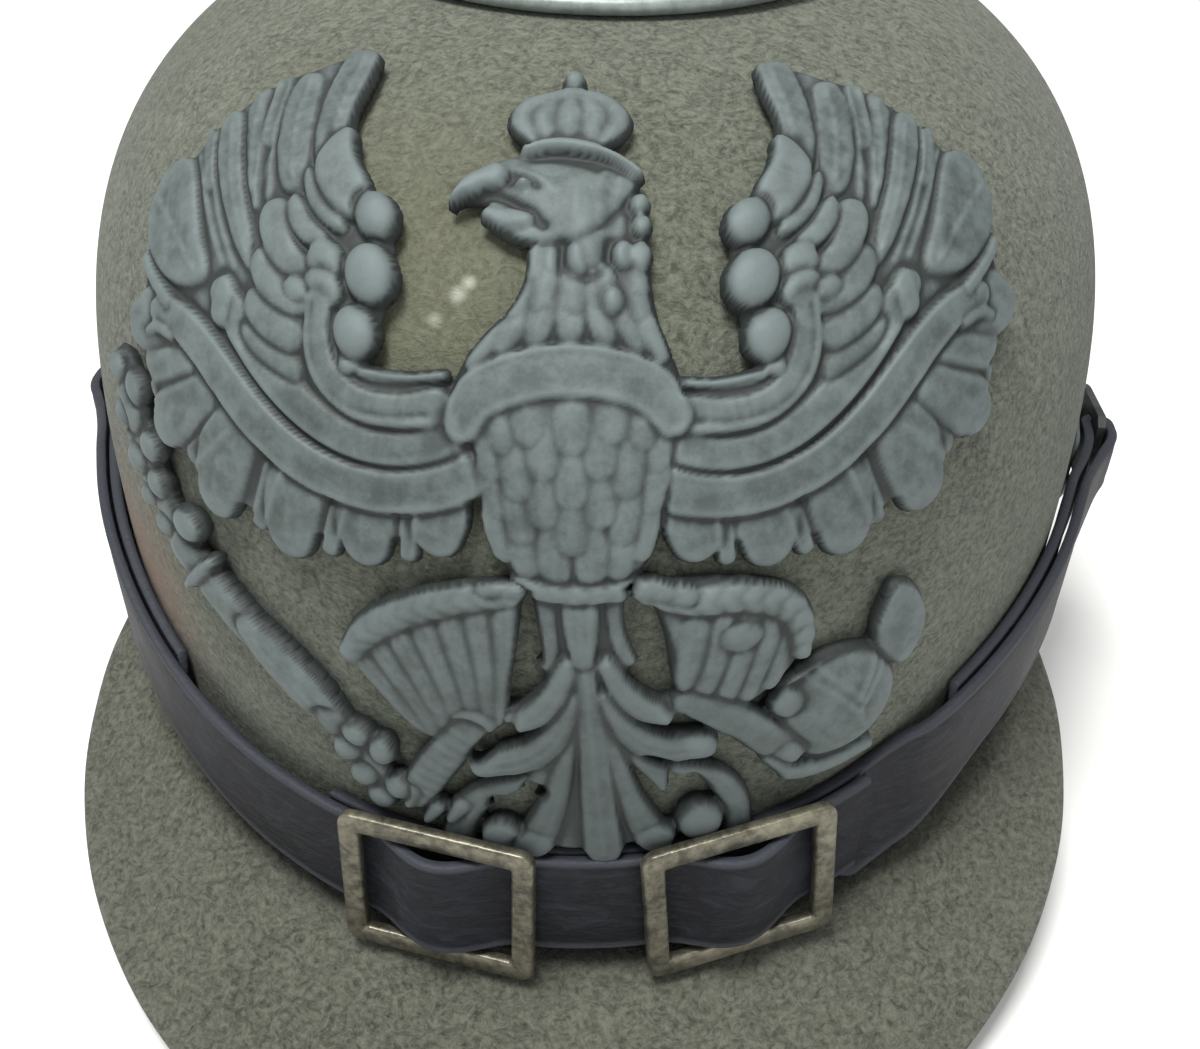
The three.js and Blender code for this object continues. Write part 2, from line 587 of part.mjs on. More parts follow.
// Rounded fields: [p, q, half width, half height, height of the face]
const FIELDS = [
  [1.2, 3, 9, 8, 4.2], [3, 24, 5.6, 8, 4.2], [0.5, 37.5, 7.4, 5.4, 4.6], [-10.8, 38.8, 2.7, 2.1, 3.8],
  [0.4, 49.6, 6.6, 4.2, 3.6], [2, 28, 2.4, 2.6, 5], [-19.5, -22.6, 9, 7.6, 4.6], [-13, -31, 3, 3, 4.2],
  [20.5, -20.5, 8.2, 7.4, 4.6], [34.5, -38, 7.6, 8.6, 4.4], [30, -47, 3, 2.6, 4], [-7.6, -30.2, 2.8, 2.6, 4],
  [-11.8, -38.6, 3.7, 3.4, 4.2], [-12.3, -52.6, 3, 3, 3.3], [-6.6, -53.6, 2.7, 2.9, 3.3],
  [9.6, -29.5, 2.9, 2.6, 4], [13.4, -37.2, 3.5, 3.2, 4.2], [8.8, -42.6, 2.4, 2.5, 3.4],
  [13.5, -51.8, 3, 3.2, 3.3], [8, -53.4, 2.9, 3, 3.3], [-69, 0, 4.2, 5, 3.4], [-59, -17.6, 4, 3.6, 3.8],
  [-33, -38.6, 2.8, 2.6, 3.6], [-28.6, -42, 2.8, 2.8, 3.8], [-31.6, -46.6, 2.6, 2.6, 3.4],
  [-27.4, -49.4, 2.4, 2.4, 3.4], [-0.5, -8.6, 7, 3, 3.8],
];
FIELDS.forEach((row) => dome(...row));

// Band over the breast, legs, sceptre and tail: strips of [p, q, width]
limb([[-12.4, 11.6, 6], [-8.5, 14.4, 6], [-3.5, 15.8, 6], [1.5, 16, 6], [6.5, 15.2, 6], [12, 12.2, 6]], 4.4);
limb([[-7, -9.2, 2.6], [2, -9.8, 3], [9, -10.4, 3.4], [14.5, -13.6, 3]], 4);
limb([[-4, 43.6, 2.4], [2, 42.8, 2.4], [7.6, 39.4, 2]], 4);
slab([
  [-5, -9], [-15, -11.6], [-23, -14], [-29.5, -18], [-31.5, -21.5], [-30, -24.5], [-24, -30],
  [-19, -34.5], [-14, -33], [-10, -29], [-8.6, -20],
], 2.4);
limb([[-9, -12.4, 3.4], [-19, -15.4, 4], [-29, -20, 4]], 3.4);
slab([
  [8, -10], [13, -10.6], [20, -11.4], [26, -13.8], [29.8, -18], [30, -23], [28, -28], [23, -32],
  [20, -34], [14, -31], [11.4, -27], [11, -18],
], 2.4);
limb([[13, -14.6, 3.6], [20, -14.2, 4], [26.6, -17.6, 4], [28, -23, 3.6]], 3.4);
limb([[-15, -32, 5], [-19, -38, 5.2], [-22, -44, 5.4], [-24.6, -49, 4.6]], 2.8);
limb([[19, -32, 6], [23, -38, 6.4], [27.5, -44, 6.4], [31, -47.6, 5.6], [37, -48.4, 4.4]], 3);
slab([
  [25, -31], [29, -28.5], [33, -27.3], [38, -28.2], [42, -31], [44, -36], [43.5, -42], [41.4, -46.6],
  [36, -49], [29, -47], [26, -42], [25, -37],
], 2.2);
slab([
  [38.5, -28], [41.2, -20.6], [44, -20], [46.6, -23], [48.5, -27.5], [47.5, -33], [44.4, -36.5],
  [41, -33],
], 2.8);
limb([
  [-71, 4, 5], [-68.5, -3, 8], [-65, -9, 7], [-61.5, -14.4, 5.6], [-57.5, -19, 6.4], [-50, -24.5, 6.4],
  [-42, -30.4, 7], [-35.5, -36.4, 6.4], [-31.6, -41.6, 6], [-29.6, -47.6, 5],
], 2.6);
slab([
  [-4.8, -11], [5.5, -11], [5.6, -17], [4.2, -24], [3.8, -32], [5.2, -42], [6, -50], [4.6, -56.4],
  [-3.6, -56.4], [-5, -50], [-3.8, -42], [-2.4, -33], [-3.8, -26], [-4.6, -19],
], 2.2);
limb([[0.5, -12, 4.6], [0.5, -19, 4.6]], 3.6);
limb([[0.4, -24, 2], [0.4, -40, 3], [0.4, -54.6, 4]], 3.2);
limb([[-3.2, -22.6, 2.4], [-4.8, -27.6, 3.4], [-7.4, -30, 3.6]], 2.8);
limb([[-2, -30, 3], [-5.6, -34.6, 4.8], [-11, -38, 5.4]], 2.8);
limb([[-8.6, -39.8, 3.4], [-13.6, -43.6, 4.4], [-17, -49, 4.6], [-17.6, -53, 4.2]], 2.4);
limb([[-3, -46, 3.4], [-8, -49.6, 4], [-12, -52.4, 4]], 2.4);
limb([[4, -22.6, 2.4], [6, -27, 3.4], [9.4, -29.4, 3.6]], 2.8);
limb([[3.4, -29, 3], [7.6, -34, 4.8], [12.8, -37, 5.4]], 2.8);
limb([[4.4, -36.6, 3], [8.6, -42, 3.6]], 2.4);
limb([[11, -39, 3.4], [16, -43.6, 4.4], [19.8, -48.4, 4.6], [20.8, -52.6, 4.2]], 2.4);
limb([[4.6, -46.4, 3.4], [9, -49.4, 4], [13.4, -51.8, 4]], 2.4);

// Halve every edge longer than the limit until none is left, the same way on both sides of it.
function refine(geometry, limit) {
  const points = Array.from(geometry.attributes.position.array);
  let faces = [];
  for (let i = 0; i < geometry.index.count; i += 3) {
    faces.push([0, 1, 2].map((k) => geometry.index.getX(i + k)));
  }
  const length = (a, b) => Math.hypot(...[0, 1].map((k) => points[3 * a + k] - points[3 * b + k]));
  let again = true;
  while (again) {
    again = false;
    const halves = new Map();
    const next = [];
    const half = (a, b) => {
      if (length(a, b) <= limit) return -1;
      const key = a < b ? `${a}_${b}` : `${b}_${a}`;
      if (!halves.has(key)) {
        halves.set(key, points.length / 3);
        for (const k of [0, 1, 2]) points.push((points[3 * a + k] + points[3 * b + k]) / 2);
      }
      return halves.get(key);
    };
    for (const [a, b, c] of faces) {
      const cut = [half(a, b), half(b, c), half(c, a)];
      const count = cut.filter((m) => m >= 0).length;
      if (count > 0) again = true;
      const turn = count === 2 ? (cut.indexOf(-1) + 1) % 3 : Math.max(cut.findIndex((m) => m >= 0), 0);
      const [u, v, w] = [0, 1, 2].map((k) => [a, b, c][(turn + k) % 3]);
      const [uv, vw, wu] = [0, 1, 2].map((k) => cut[(turn + k) % 3]);
      if (count === 0) next.push([u, v, w]);
      if (count === 1) next.push([u, uv, w], [uv, v, w]);
      if (count === 2) next.push([uv, v, vw], [u, uv, w], [uv, vw, w]);
      if (count === 3) next.push([u, uv, wu], [uv, v, vw], [wu, vw, w], [uv, vw, wu]);
    }
    faces = next;
  }
  const fine = new THREE.BufferGeometry();
  fine.setAttribute("position", new THREE.BufferAttribute(new Float32Array(points), 3));
  fine.setIndex(faces.flat());
  return fine;
}

// Lay a point of the flat drawing on the crown.
function onCrown(p, q, height) {
  const turn = rad(PLATE_TILT);
  const u = PLATE_U + p * Math.cos(turn) - q * Math.sin(turn);
  const v = PLATE_V + p * Math.sin(turn) + q * Math.cos(turn);
  const z = read(frontLine, v);
  const theta = u / (CROWN_HALF_WIDTH * crownShare(z));
  return offCrown(theta, z, PLATE_GAP + height);
}

function eaglePlate() {
  const below = toSolid(new THREE.BoxGeometry(400, 400, 40).translate(0, 0, -20));
  const joined = plateSolids.reduce((whole, solid) => whole.add(solid)).subtract(below);
  const fine = refine(toGeometry(joined), PLATE_EDGE);
  const position = fine.attributes.position;
  for (let i = 0; i < position.count; i += 1) {
    const laid = onCrown(position.getX(i), position.getY(i), position.getZ(i));
    position.setXYZ(i, laid.x, laid.y, laid.z);
  }
  return fine;
}

helmet.add(part("eagle_plate", eaglePlate(), ZINC));

export default helmet;
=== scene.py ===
import math

import bmesh
import bpy
import numpy as np
from mathutils import Matrix, Vector


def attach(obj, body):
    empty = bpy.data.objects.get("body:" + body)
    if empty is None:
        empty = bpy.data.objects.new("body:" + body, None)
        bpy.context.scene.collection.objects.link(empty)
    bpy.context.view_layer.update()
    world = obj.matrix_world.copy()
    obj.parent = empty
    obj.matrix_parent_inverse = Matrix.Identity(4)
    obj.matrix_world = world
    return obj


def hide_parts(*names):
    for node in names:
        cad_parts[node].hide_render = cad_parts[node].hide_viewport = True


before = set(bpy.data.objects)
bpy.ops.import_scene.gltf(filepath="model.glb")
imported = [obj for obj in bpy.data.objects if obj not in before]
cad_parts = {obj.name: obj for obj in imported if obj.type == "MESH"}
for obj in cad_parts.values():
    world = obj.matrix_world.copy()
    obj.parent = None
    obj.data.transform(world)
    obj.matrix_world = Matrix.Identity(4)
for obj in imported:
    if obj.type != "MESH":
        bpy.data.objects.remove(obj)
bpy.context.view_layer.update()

rad = math.radians

# Sizes in millimetres and angles in degrees, as the solids have them; heights count from the rim line
CROWN_HALF_WIDTH, CROWN_HALF_LENGTH, CROWN_HEIGHT, CROWN_HEM = 83.0, 98.0, 118.5, 5.5
CROWN_SQUARENESS, CROWN_ROUNDNESS, CROWN_SWELL, FELT = 4.27, 2.76, 0.072, 2.4
FRONT_REACH, FRONT_HALF_ANGLE, REAR_REACH, REAR_HALF_ANGLE = 34.5, 76.7, 25.0, 64.0
VISOR_ROOT_DROP, VISOR_ROOT_RISE, VISOR_FALL, VISOR_FALL_FROM = 4.2, 10.0, 0.936, 5.8
VISOR_END_REACH, VISOR_FELT, FOOT_CUT = 2.8, 2.4, 1.2
GAP, PLATE_GAP, STRAP_GAP = 0.3, 0.5, 0.4
# Only the scene has these: the sewn edges press into the felt, and the strap's lower edge sags on the right,
# from the first of four angles, fully from the second to the third, and no more at the last
SEAM, STRAP_SAG, SAG_LEAN, SAG_ANGLES = -0.35, 4.5, 0.3, (28.5, 33, 34, 50)
BASE_RADIUS, BASE_THICKNESS, BASE_RISE, NECK_RADIUS, NECK_HEIGHT = 39.4, 1.2, 4.0, 14.0, 15.0
RING_RADIUS, SPIKE_FOOT_RADIUS, SPIKE_HEIGHT, SPIKE_TIP_RADIUS = 15.5, 9.5, 62.0, 1.6
STRAP_WIDTH, LEATHER, STRAP_BULGE = 19.2, 1.8, 4.0
STRAP_END_WIDTH, STRAP_LAP, TAPER_ANGLES = 9.5, 3.0, (72, 86)
BUCKLE_WIDTH, BUCKLE_HEIGHT, BUCKLE_BAR, BUCKLE_METAL, BUCKLE_STAND = 29.5, 27.6, 3.3, 2.0, 4.4
SIDE_ANGLE, SIDE_HEIGHT = 95.5, 28.5
COCKADE_RADIUS, COCKADE_METAL, COCKADE_DISH, COCKADE_STAND = 18.0, 1.0, 1.0, 2.6
COCKADE_FLUTES, COCKADE_FLUTE_DEPTH = 11, 0.3
POST_RADIUS, POST_HEAD_RADIUS, POST_HEAD = 2.6, 5.0, 2.2
LUG_METAL, LUG_ARM, LUG_BAR, LUG_SLOT, LUG_SLOT_START, LUG_STAND = 1.6, 1.6, 3.3, 3.2, 5.0, 7.75
PLATE_TILT, PLATE_U, PLATE_V = 4.1, 3.2, 76.0
# Height of the rim line over the floor, and the crown's middle
RIM = VISOR_FALL * FRONT_REACH - VISOR_FALL_FROM + VISOR_FELT * 0.8 - FOOT_CUT
CENTRE_Y = (FRONT_REACH - REAR_REACH) / 2

# Middle of the strap: degrees from the front, height
STRAP_LINE = [
    (-96, 28.5), (-87, 28.5), (-79, 28.1), (-70, 27), (-60, 24), (-45, 17), (-32, 12), (-20, 9), (-10, 8.3),
    (0, 8), (9, 8.2), (19, 9.4), (29, 12.2), (45, 20.5), (60, 25.6), (70, 27.4), (79, 28.3), (87, 28.5),
    (96, 28.5),
]
# Outline of a visor: share of its half angle, share of its reach
VISOR_SHAPE = [
    (0, 1), (0.15, 0.985), (0.3, 0.92), (0.45, 0.81), (0.6, 0.67), (0.75, 0.5), (0.9, 0.27), (1, 0),
]
# Buckles: side, degrees from the front, height, spin
BUCKLES = [("left", -9.8, 8.3, -1.5), ("right", 18.7, 9.4, 5.5)]


def smooth_read(table, x, passes=3):
    """Reads a table as a soft curve: straight lines, rounded off."""
    xs = np.array([row[0] for row in table], float)
    ys = np.array([row[1] for row in table], float)
    x = np.asarray(x, float)
    span = np.diff(xs).mean() * 0.5
    shifts = np.linspace(-span, span, 2 * passes + 1)
    weights = np.cos(shifts / span * np.pi / 2) ** 2 + 1e-6
    total = sum(w * np.interp(x + s, xs, ys) for s, w in zip(shifts, weights))
    return total / weights.sum()


def soft_line(rows, passes=2, closed=False):
    """Rounds the corners of a line of rows, the ends kept."""
    rows = np.asarray(rows, float)
    for _ in range(passes):
        after = np.roll(rows, -1, 0) if closed else rows[1:]
        before = rows if closed else rows[:-1]
        cut = np.stack([before * 0.75 + after * 0.25, before * 0.25 + after * 0.75], 1)
        cut = cut.reshape(-1, rows.shape[1])
        rows = cut if closed else np.concatenate([rows[:1], cut, rows[-1:]])
    return rows


def smoothstep(x, low, high):
    t = np.clip((np.asarray(x, float) - low) / (high - low), 0, 1)
    return t * t * (3 - 2 * t)


def crown_share(z):
    """Share of the crown's full half width and half length at a height."""
    s = np.clip(np.asarray(z, float) / CROWN_HEIGHT, 0, 1)
    top = np.maximum(1 - s ** CROWN_SQUARENESS, 0) ** (1 / CROWN_ROUNDNESS)
    return top * (1 + CROWN_SWELL * np.sin(np.pi * s / 2) ** 1.5)


def crown_point(theta, z):
    share = crown_share(z)
    x = CROWN_HALF_WIDTH * share * np.sin(theta)
    y = -CROWN_HALF_LENGTH * share * np.cos(theta) + CENTRE_Y
    return np.stack(np.broadcast_arrays(x, y, z + RIM), -1)


def crown_normal(theta, z):
    d = 1e-3
    up = crown_point(theta, z + d) - crown_point(theta, z - d)
    round_ = crown_point(theta + d, z) - crown_point(theta - d, z)
    out = np.cross(round_, up)
    return out / np.linalg.norm(out, axis=-1, keepdims=True)


def off_crown(theta, z, off):
    """Point at an angle and height, lifted straight off the felt."""
    return crown_point(theta, z) + crown_normal(theta, z) * np.asarray(off)[..., None]


# Length along the crown's middle line at each height, to lay the plate on it
line_z = CROWN_HEIGHT * np.sin(np.linspace(0, np.pi / 2, 3001)) ** (2 / CROWN_SQUARENESS)
line_steps = np.hypot(np.diff(line_z), CROWN_HALF_LENGTH * np.diff(crown_share(line_z)))
line_s = np.concatenate([[0], np.cumsum(line_steps)])


def on_crown(p, q, height):
    """Lays points of the flat plate drawing on the crown."""
    turn = rad(PLATE_TILT)
    u = PLATE_U + p * np.cos(turn) - q * np.sin(turn)
    v = PLATE_V + p * np.sin(turn) + q * np.cos(turn)
    z = np.interp(v, line_s, line_z)
    theta = u / (CROWN_HALF_WIDTH * crown_share(z))
    return off_crown(theta, z, PLATE_GAP + height)


# Meshes
def add_mesh(name, points, faces, material, node=None, slot=None, smooth=True):
    """Mesh in metres from points in millimetres; with a node it becomes a piece of the part."""
    mesh = bpy.data.meshes.new(name)
    mesh.from_pydata((np.asarray(points, float) / 1000).tolist(), [], [tuple(map(int, f)) for f in faces])
    mesh.validate()
    mesh.update()
    if smooth:
        mesh.shade_smooth()
    piece = bpy.data.objects.new(name, mesh)
    bpy.context.scene.collection.objects.link(piece)
    piece.data.materials.append(material)
    if node:
        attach(piece, "root")
        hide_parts(node)
    return piece


def grid_faces(rows, columns, wrap_rows=False):
    """Four-sided faces of a grid whose columns close in a ring."""
    rr, cc = np.meshgrid(np.arange(rows if wrap_rows else rows - 1), np.arange(columns), indexing="ij")
    r1, c1 = (rr + 1) % rows, (cc + 1) % columns
    quads = np.stack([rr * columns + cc, rr * columns + c1, r1 * columns + c1, r1 * columns + cc], -1)
    return quads.reshape(-1, 4)


def orient(piece):
    """Joins doubled points and turns all faces outward."""
    bm = bmesh.new()
    bm.from_mesh(piece.data)
    bmesh.ops.remove_doubles(bm, verts=bm.verts, dist=1e-6)
    bmesh.ops.recalc_face_normals(bm, faces=bm.faces)
    bm.to_mesh(piece.data)
    bm.free()
    piece.data.shade_smooth()
    return piece


def section_sweep(name, stations, material, **words):
    """Closed sections, one per station, joined into a tube with closed ends."""
    stations = np.asarray(stations, float)
    n, m = stations.shape[:2]
    faces = grid_faces(n, m).tolist()
    faces += [tuple(range(m))[::-1], tuple((n - 1) * m + i for i in range(m))]
    return orient(add_mesh(name, stations.reshape(-1, 3), faces, material, **words))


def turned(rows, steps, rise=0):
    """Points of rows of (radius, height) turned about Z."""
    angle = np.linspace(0, 2 * np.pi, steps, endpoint=False)
    radius, height = rows[:, 0][:, None], rows[:, 1][:, None]
    x, y, z = radius * np.cos(angle), radius * np.sin(angle), height + rise + 0 * angle
    return np.stack([x, y, z], -1).reshape(-1, 3)


def lathe(name, rows, steps, material, place, round_passes=0, **words):
    """Turned piece from rows of (radius, height); place moves its points."""
    rows = soft_line(rows, round_passes)
    faces = grid_faces(len(rows), steps)
    return orient(add_mesh(name, place(turned(rows, steps)), faces, material, **words))


# Materials
class Nodes:
    """Short helper to build one procedural material."""

    def __init__(self, name, roughness, metallic=0.0, specular=0.5, sheen=0.0, sheen_roughness=0.5):
        self.material = bpy.data.materials.new(name)
        self.material.use_nodes = True
        self.tree = self.material.node_tree
        self.shader = self.tree.nodes["Principled BSDF"]
        finish = {"Roughness": roughness, "Metallic": metallic, "Specular IOR Level": specular}
        self.put(self.shader, {**finish, "Sheen Weight": sheen, "Sheen Roughness": sheen_roughness})
        self.coordinates = self.new("ShaderNodeTexCoord", {}).outputs["Object"]

    def put(self, node, values):
        """Sets or links each named or numbered socket of a node; None leaves one alone."""
        for socket, value in values.items():
            if isinstance(value, bpy.types.NodeSocket):
                self.tree.links.new(value, node.inputs[socket])
            elif value is not None:
                node.inputs[socket].default_value = value

    def new(self, kind, values, **settings):
        node = self.tree.nodes.new(kind)
        for name, setting in settings.items():
            setattr(node, name, setting)
        self.put(node, values)
        return node

    def noise(self, scale, detail=3.0, roughness=0.55, distortion=0.0, stretch=None):
        """Noise of 0 to 1; scale counts its cells in a metre."""
        at = self.coordinates
        if stretch:
            at = self.new("ShaderNodeMapping", {"Vector": at, "Scale": stretch}).outputs["Vector"]
        values = {"Scale": scale, "Detail": detail, "Roughness": roughness, "Distortion": distortion}
        return self.new("ShaderNodeTexNoise", {"Vector": at, **values}).outputs["Fac"]

    def ramp(self, value, stops):
        """Colour from a value, by stops of (value, colour)."""
        node = self.new("ShaderNodeValToRGB", {"Fac": value})
        elements = node.color_ramp.elements
        while len(elements) < len(stops):
            elements.new(0.5)
        for element, (position, colour) in zip(elements, stops):
            element.position = position
            element.color = (*colour, 1)
        return node.outputs["Color"]

    def mix(self, a, b, share):
        """Mixes two colours; sockets 6 and 7 of the node are its colours, 0 the share."""
        a, b = [(*colour, 1) if isinstance(colour, tuple) else colour for colour in (a, b)]
        return self.new("ShaderNodeMix", {6: a, 7: b, 0: share}, data_type="RGBA").outputs[2]

    def math(self, operation, a, b=0.0, clamp=False):
        return self.new("ShaderNodeMath", {0: a, 1: b}, operation=operation, use_clamp=clamp).outputs[0]

    def attribute(self, name):
        return self.new("ShaderNodeAttribute", {}, attribute_name=name).outputs["Fac"]

    def spot(self, x, y, z, radius, soft):
        """1 inside a soft ball round a point given in millimetres of the part's own frame."""
        values = {0: self.coordinates, 1: (x / 1000, y / 1000, z / 1000)}
        gap = self.new("ShaderNodeVectorMath", values, operation="DISTANCE").outputs["Value"]
        low, high = (radius + soft) / 1000, max(radius - soft, 0) / 1000
        values = {"Value": gap, "From Min": low, "From Max": high}
        return self.new("ShaderNodeMapRange", values, interpolation_type="SMOOTHSTEP").outputs["Result"]

    def bump(self, height, strength, distance, before=None):
        """Fine unevenness, its distance in metres, over another one."""
        values = {"Height": height, "Strength": strength, "Distance": distance, "Normal": before}
        return self.new("ShaderNodeBump", values).outputs["Normal"]

    def done(self, colour, normal=None, roughness=None):
        self.put(self.shader, {"Base Color": colour, "Normal": normal, "Roughness": roughness})
        return self.material


def linear(*rgb):
    """sRGB bytes to linear colour."""
    return tuple((c / 255 / 12.92) if c <= 10 else ((c / 255 + 0.055) / 1.055) ** 2.4 for c in rgb)


def felt(name, shades, stains=()):
    dark, middle, light = [linear(*shade) for shade in shades]
    m = Nodes(name, 0.97, specular=0.1, sheen=0.1, sheen_roughness=0.6)
    cloud = m.noise(14, 4, 0.6)
    speck = m.noise(900, 3, 0.7)
    fibre = m.noise(330, 4, 0.75, 2.5, (1, 1, 1.6))
    colour = m.ramp(cloud, [(0.3, dark), (0.5, middle), (0.72, light)])
    darker, lighter = tuple(c * 0.62 for c in dark), tuple(c * 1.3 for c in light)
    colour = m.mix(colour, m.ramp(speck, [(0.36, darker), (0.62, lighter)]), 0.6)
    colour = m.mix(colour, m.ramp(fibre, [(0.38, darker), (0.58, lighter)]), 0.4)
    for place, radius, soft, tint, strength in stains:
        share = m.math("MULTIPLY", m.spot(*place, radius, soft), strength)
        share = m.math("MULTIPLY", share, m.math("ADD", m.noise(260, 4, 0.7), 0.35), True)
        colour = m.mix(colour, linear(*tint), share)
    rough = m.bump(fibre, 0.5, 0.0009)
    rough = m.bump(speck, 0.55, 0.0005, rough)
    return m.done(colour, m.bump(cloud, 0.3, 0.003, rough))


def metal(name, shades, roughness, metallic, scale=40, relief_shading=False):
    """Cloudy, finely scratched metal; on a stamped relief, painted highlight lightens its high places and
    painted shade darkens its deep ones and its lower part.
    """
    dark, middle, light = [linear(*shade) for shade in shades]
    m = Nodes(name, roughness, metallic)
    cloud = m.noise(scale, 6, 0.65)
    fine = m.noise(scale * 9, 4, 0.7)
    scratch = m.noise(scale * 3, 3, 0.6, 0.6, (1, 6, 1))
    colour = m.ramp(cloud, [(0.3, dark), (0.5, middle), (0.72, light)])
    colour = m.mix(colour, m.ramp(fine, [(0.38, dark), (0.62, light)]), 0.45)
    if relief_shading:
        # Painted highlight on the relief's high places and painted shade in its hollows
        colour = m.mix(colour, light, m.math("MULTIPLY", m.attribute("high"), 0.45, True))
        deep_shade = m.math("MULTIPLY", m.attribute("deep_shade"), 0.9, True)
        colour = m.mix(colour, tuple(c * 0.3 for c in dark), deep_shade)
        # Painted shade over the plate's lower part
        low = m.math("MULTIPLY", m.spot(*ZINC_PAINTED_SHADE_AT, 30, 26), 0.45, True)
        colour = m.mix(colour, tuple(c * 0.6 for c in dark), low)
    grit = m.math("ADD", m.math("MULTIPLY", cloud, 0.35), roughness - 0.17, True)
    normal = m.bump(fine, 0.25, 0.0004)
    return m.done(colour, m.bump(scratch, 0.125, 0.0003, normal), grit)


def leather(name, shades):
    dark, middle, worn_and_highlit = [linear(*shade) for shade in shades]
    m = Nodes(name, 0.68, specular=0.22)
    cloud = m.noise(45, 5, 0.65)
    grain = m.noise(1300, 3, 0.6)
    crease = m.noise(160, 4, 0.7, 1.2, (1, 1, 3))
    colour = m.ramp(cloud, [(0.32, dark), (0.56, middle), (0.8, worn_and_highlit)])
    colour = m.mix(colour, m.ramp(crease, [(0.45, dark), (0.75, worn_and_highlit)]), 0.35)
    # Lighter strap edges: partly wear, partly a painted highlight along the leather's edges
    colour = m.mix(colour, worn_and_highlit, m.math("MULTIPLY", m.attribute("edge"), 0.8, True))
    normal = m.bump(crease, 0.35, 0.0008, m.bump(grain, 0.35, 0.0003))
    return m.done(colour, normal, m.math("ADD", m.math("MULTIPLY", cloud, 0.4), 0.38, True))


# Middle of the plate's lower part, which gets painted shade
ZINC_PAINTED_SHADE_AT = (4, -99, 48)
# Tinted patches and chalk marks of the felt: middle, radius, softness, tint, strength
STAINS = [
    ((-62, -52, 60), 16, 12, (104, 82, 68), 0.9),
    ((-20, -76, 122), 24, 22, (92, 92, 70), 0.55),
    ((-37.5, -50, 135), 8, 6, (98, 96, 66), 0.6),
    ((-10.7, -78.9, 125.2), 0.4, 1.0, (170, 174, 160), 0.8),
    ((-11.9, -79.8, 124.0), 0.4, 1.2, (170, 174, 160), 0.8),
    ((-14.7, -81.7, 121.3), 0.3, 1.2, (150, 154, 140), 0.6),
    ((-20.5, -78, 122), 0.3, 1.1, (140, 144, 126), 0.6),
]
FELT_CLOTH = felt("felt_cloth", [(56, 60, 52), (76, 80, 70), (95, 99, 88)], STAINS)
VISOR_CLOTH = felt("visor_cloth", [(52, 54, 46), (71, 73, 64), (89, 91, 81)])
ZINC = metal("zinc_stamped", [(54, 62, 61), (75, 84, 83), (100, 111, 111)], 0.66, 0.2, 30, relief_shading=True)
ZINC_PLAIN = metal("zinc_plain", [(54, 62, 61), (80, 90, 89), (116, 128, 127)], 0.5, 0.5, 30)
BASE_STEEL = metal("grey_steel", [(98, 108, 106), (126, 135, 133), (150, 158, 154)], 0.5, 0.5)
LUG_STEEL = metal("lug_steel", [(44, 46, 47), (64, 66, 66), (92, 94, 92)], 0.5, 0.6)
DARK_STEEL = metal("dark_steel", [(48, 50, 52), (72, 75, 77), (110, 112, 112)], 0.45, 0.7)
BUCKLE_STEEL = metal("buckle_steel", [(58, 57, 49), (84, 82, 72), (138, 134, 116)], 0.38, 0.7, 60)
STRAP_LEATHER = leather("strap_leather", [(9, 10, 14), (19, 20, 28), (54, 57, 64)])


# Pieces
def build_crown():
    columns = 200
    theta = np.linspace(0, 2 * np.pi, columns, endpoint=False)
    phi = np.linspace(0, np.pi / 2, 90)[:-1]
    outer_z = CROWN_HEIGHT * np.sin(phi) ** (2 / CROWN_SQUARENESS)
    inside = 1 - FELT / CROWN_HALF_WIDTH
    lower = (CROWN_HEIGHT - FELT) / CROWN_HEIGHT
    corner, edge, wall = -CROWN_HEM + 0.9, -CROWN_HEM + 0.15, FELT / CROWN_HALF_WIDTH
    hem = [(1, corner), (1 - 0.25 * wall, edge), (1 - 0.75 * wall, edge), (inside, corner)]
    rows = [(crown_share(z), z) for z in outer_z[::-1]] + hem
    rows += [(crown_share(z) * inside, z * lower) for z in outer_z[::2]]
    rings = []
    for share, z in rows:
        x = CROWN_HALF_WIDTH * share * np.sin(theta)
        y = -CROWN_HALF_LENGTH * share * np.cos(theta) + CENTRE_Y
        rings.append(np.stack([x, y, np.full(columns, z + RIM)], -1))
    points = np.concatenate(rings)
    faces = grid_faces(len(rows), columns).tolist()
    top, under = len(points), len(points) + 1
    ends = [[0, CENTRE_Y, CROWN_HEIGHT + RIM], [0, CENTRE_Y, CROWN_HEIGHT - FELT + RIM]]
    last = (len(rows) - 1) * columns
    faces += [(top, (i + 1) % columns, i) for i in range(columns)]
    faces += [(under, last + i, last + (i + 1) % columns) for i in range(columns)]
    points = np.concatenate([points, ends])
    orient(add_mesh("crown_felt", points, faces, FELT_CLOTH, node="crown_shell", slot="field_felt"))


def build_visor(name, node, reach, half_angle, turn):
    fall = VISOR_FALL * FRONT_REACH / reach
    lean = math.atan(fall)
    upper = [(0, 0), (0.3, 0), (0.6, 0), (0.85, 0), (0.965, 0), (0.99, 0.12), (1, 0.35)]
    section = upper + [(w, 1 - v) for w, v in upper[::-1]]
    stations = []
    for share in np.linspace(-1, 1, 141):
        theta = rad(half_angle) * share + turn
        far = max(float(smooth_read(VISOR_SHAPE, abs(share))) * reach, VISOR_END_REACH)
        root_z = VISOR_ROOT_RISE * share * share - VISOR_ROOT_DROP
        edge_z = VISOR_FALL_FROM - fall * far
        out = np.array([math.sin(theta) / CROWN_HALF_WIDTH, -math.cos(theta) / CROWN_HALF_LENGTH])
        out /= np.linalg.norm(out)
        ring = []
        for w, v in section:
            under = VISOR_FELT * v
            off = max(SEAM + (far - SEAM) * w - under * math.sin(lean), SEAM)
            z = max(root_z + (edge_z - root_z) * w - under * math.cos(lean) + RIM, 0)
            x = CROWN_HALF_WIDTH * math.sin(theta) + out[0] * off
            y = -CROWN_HALF_LENGTH * math.cos(theta) + out[1] * off + CENTRE_Y
            ring.append((x, y, z))
        stations.append(ring)
    section_sweep(name, stations, VISOR_CLOTH, node=node, slot="visor_felt")


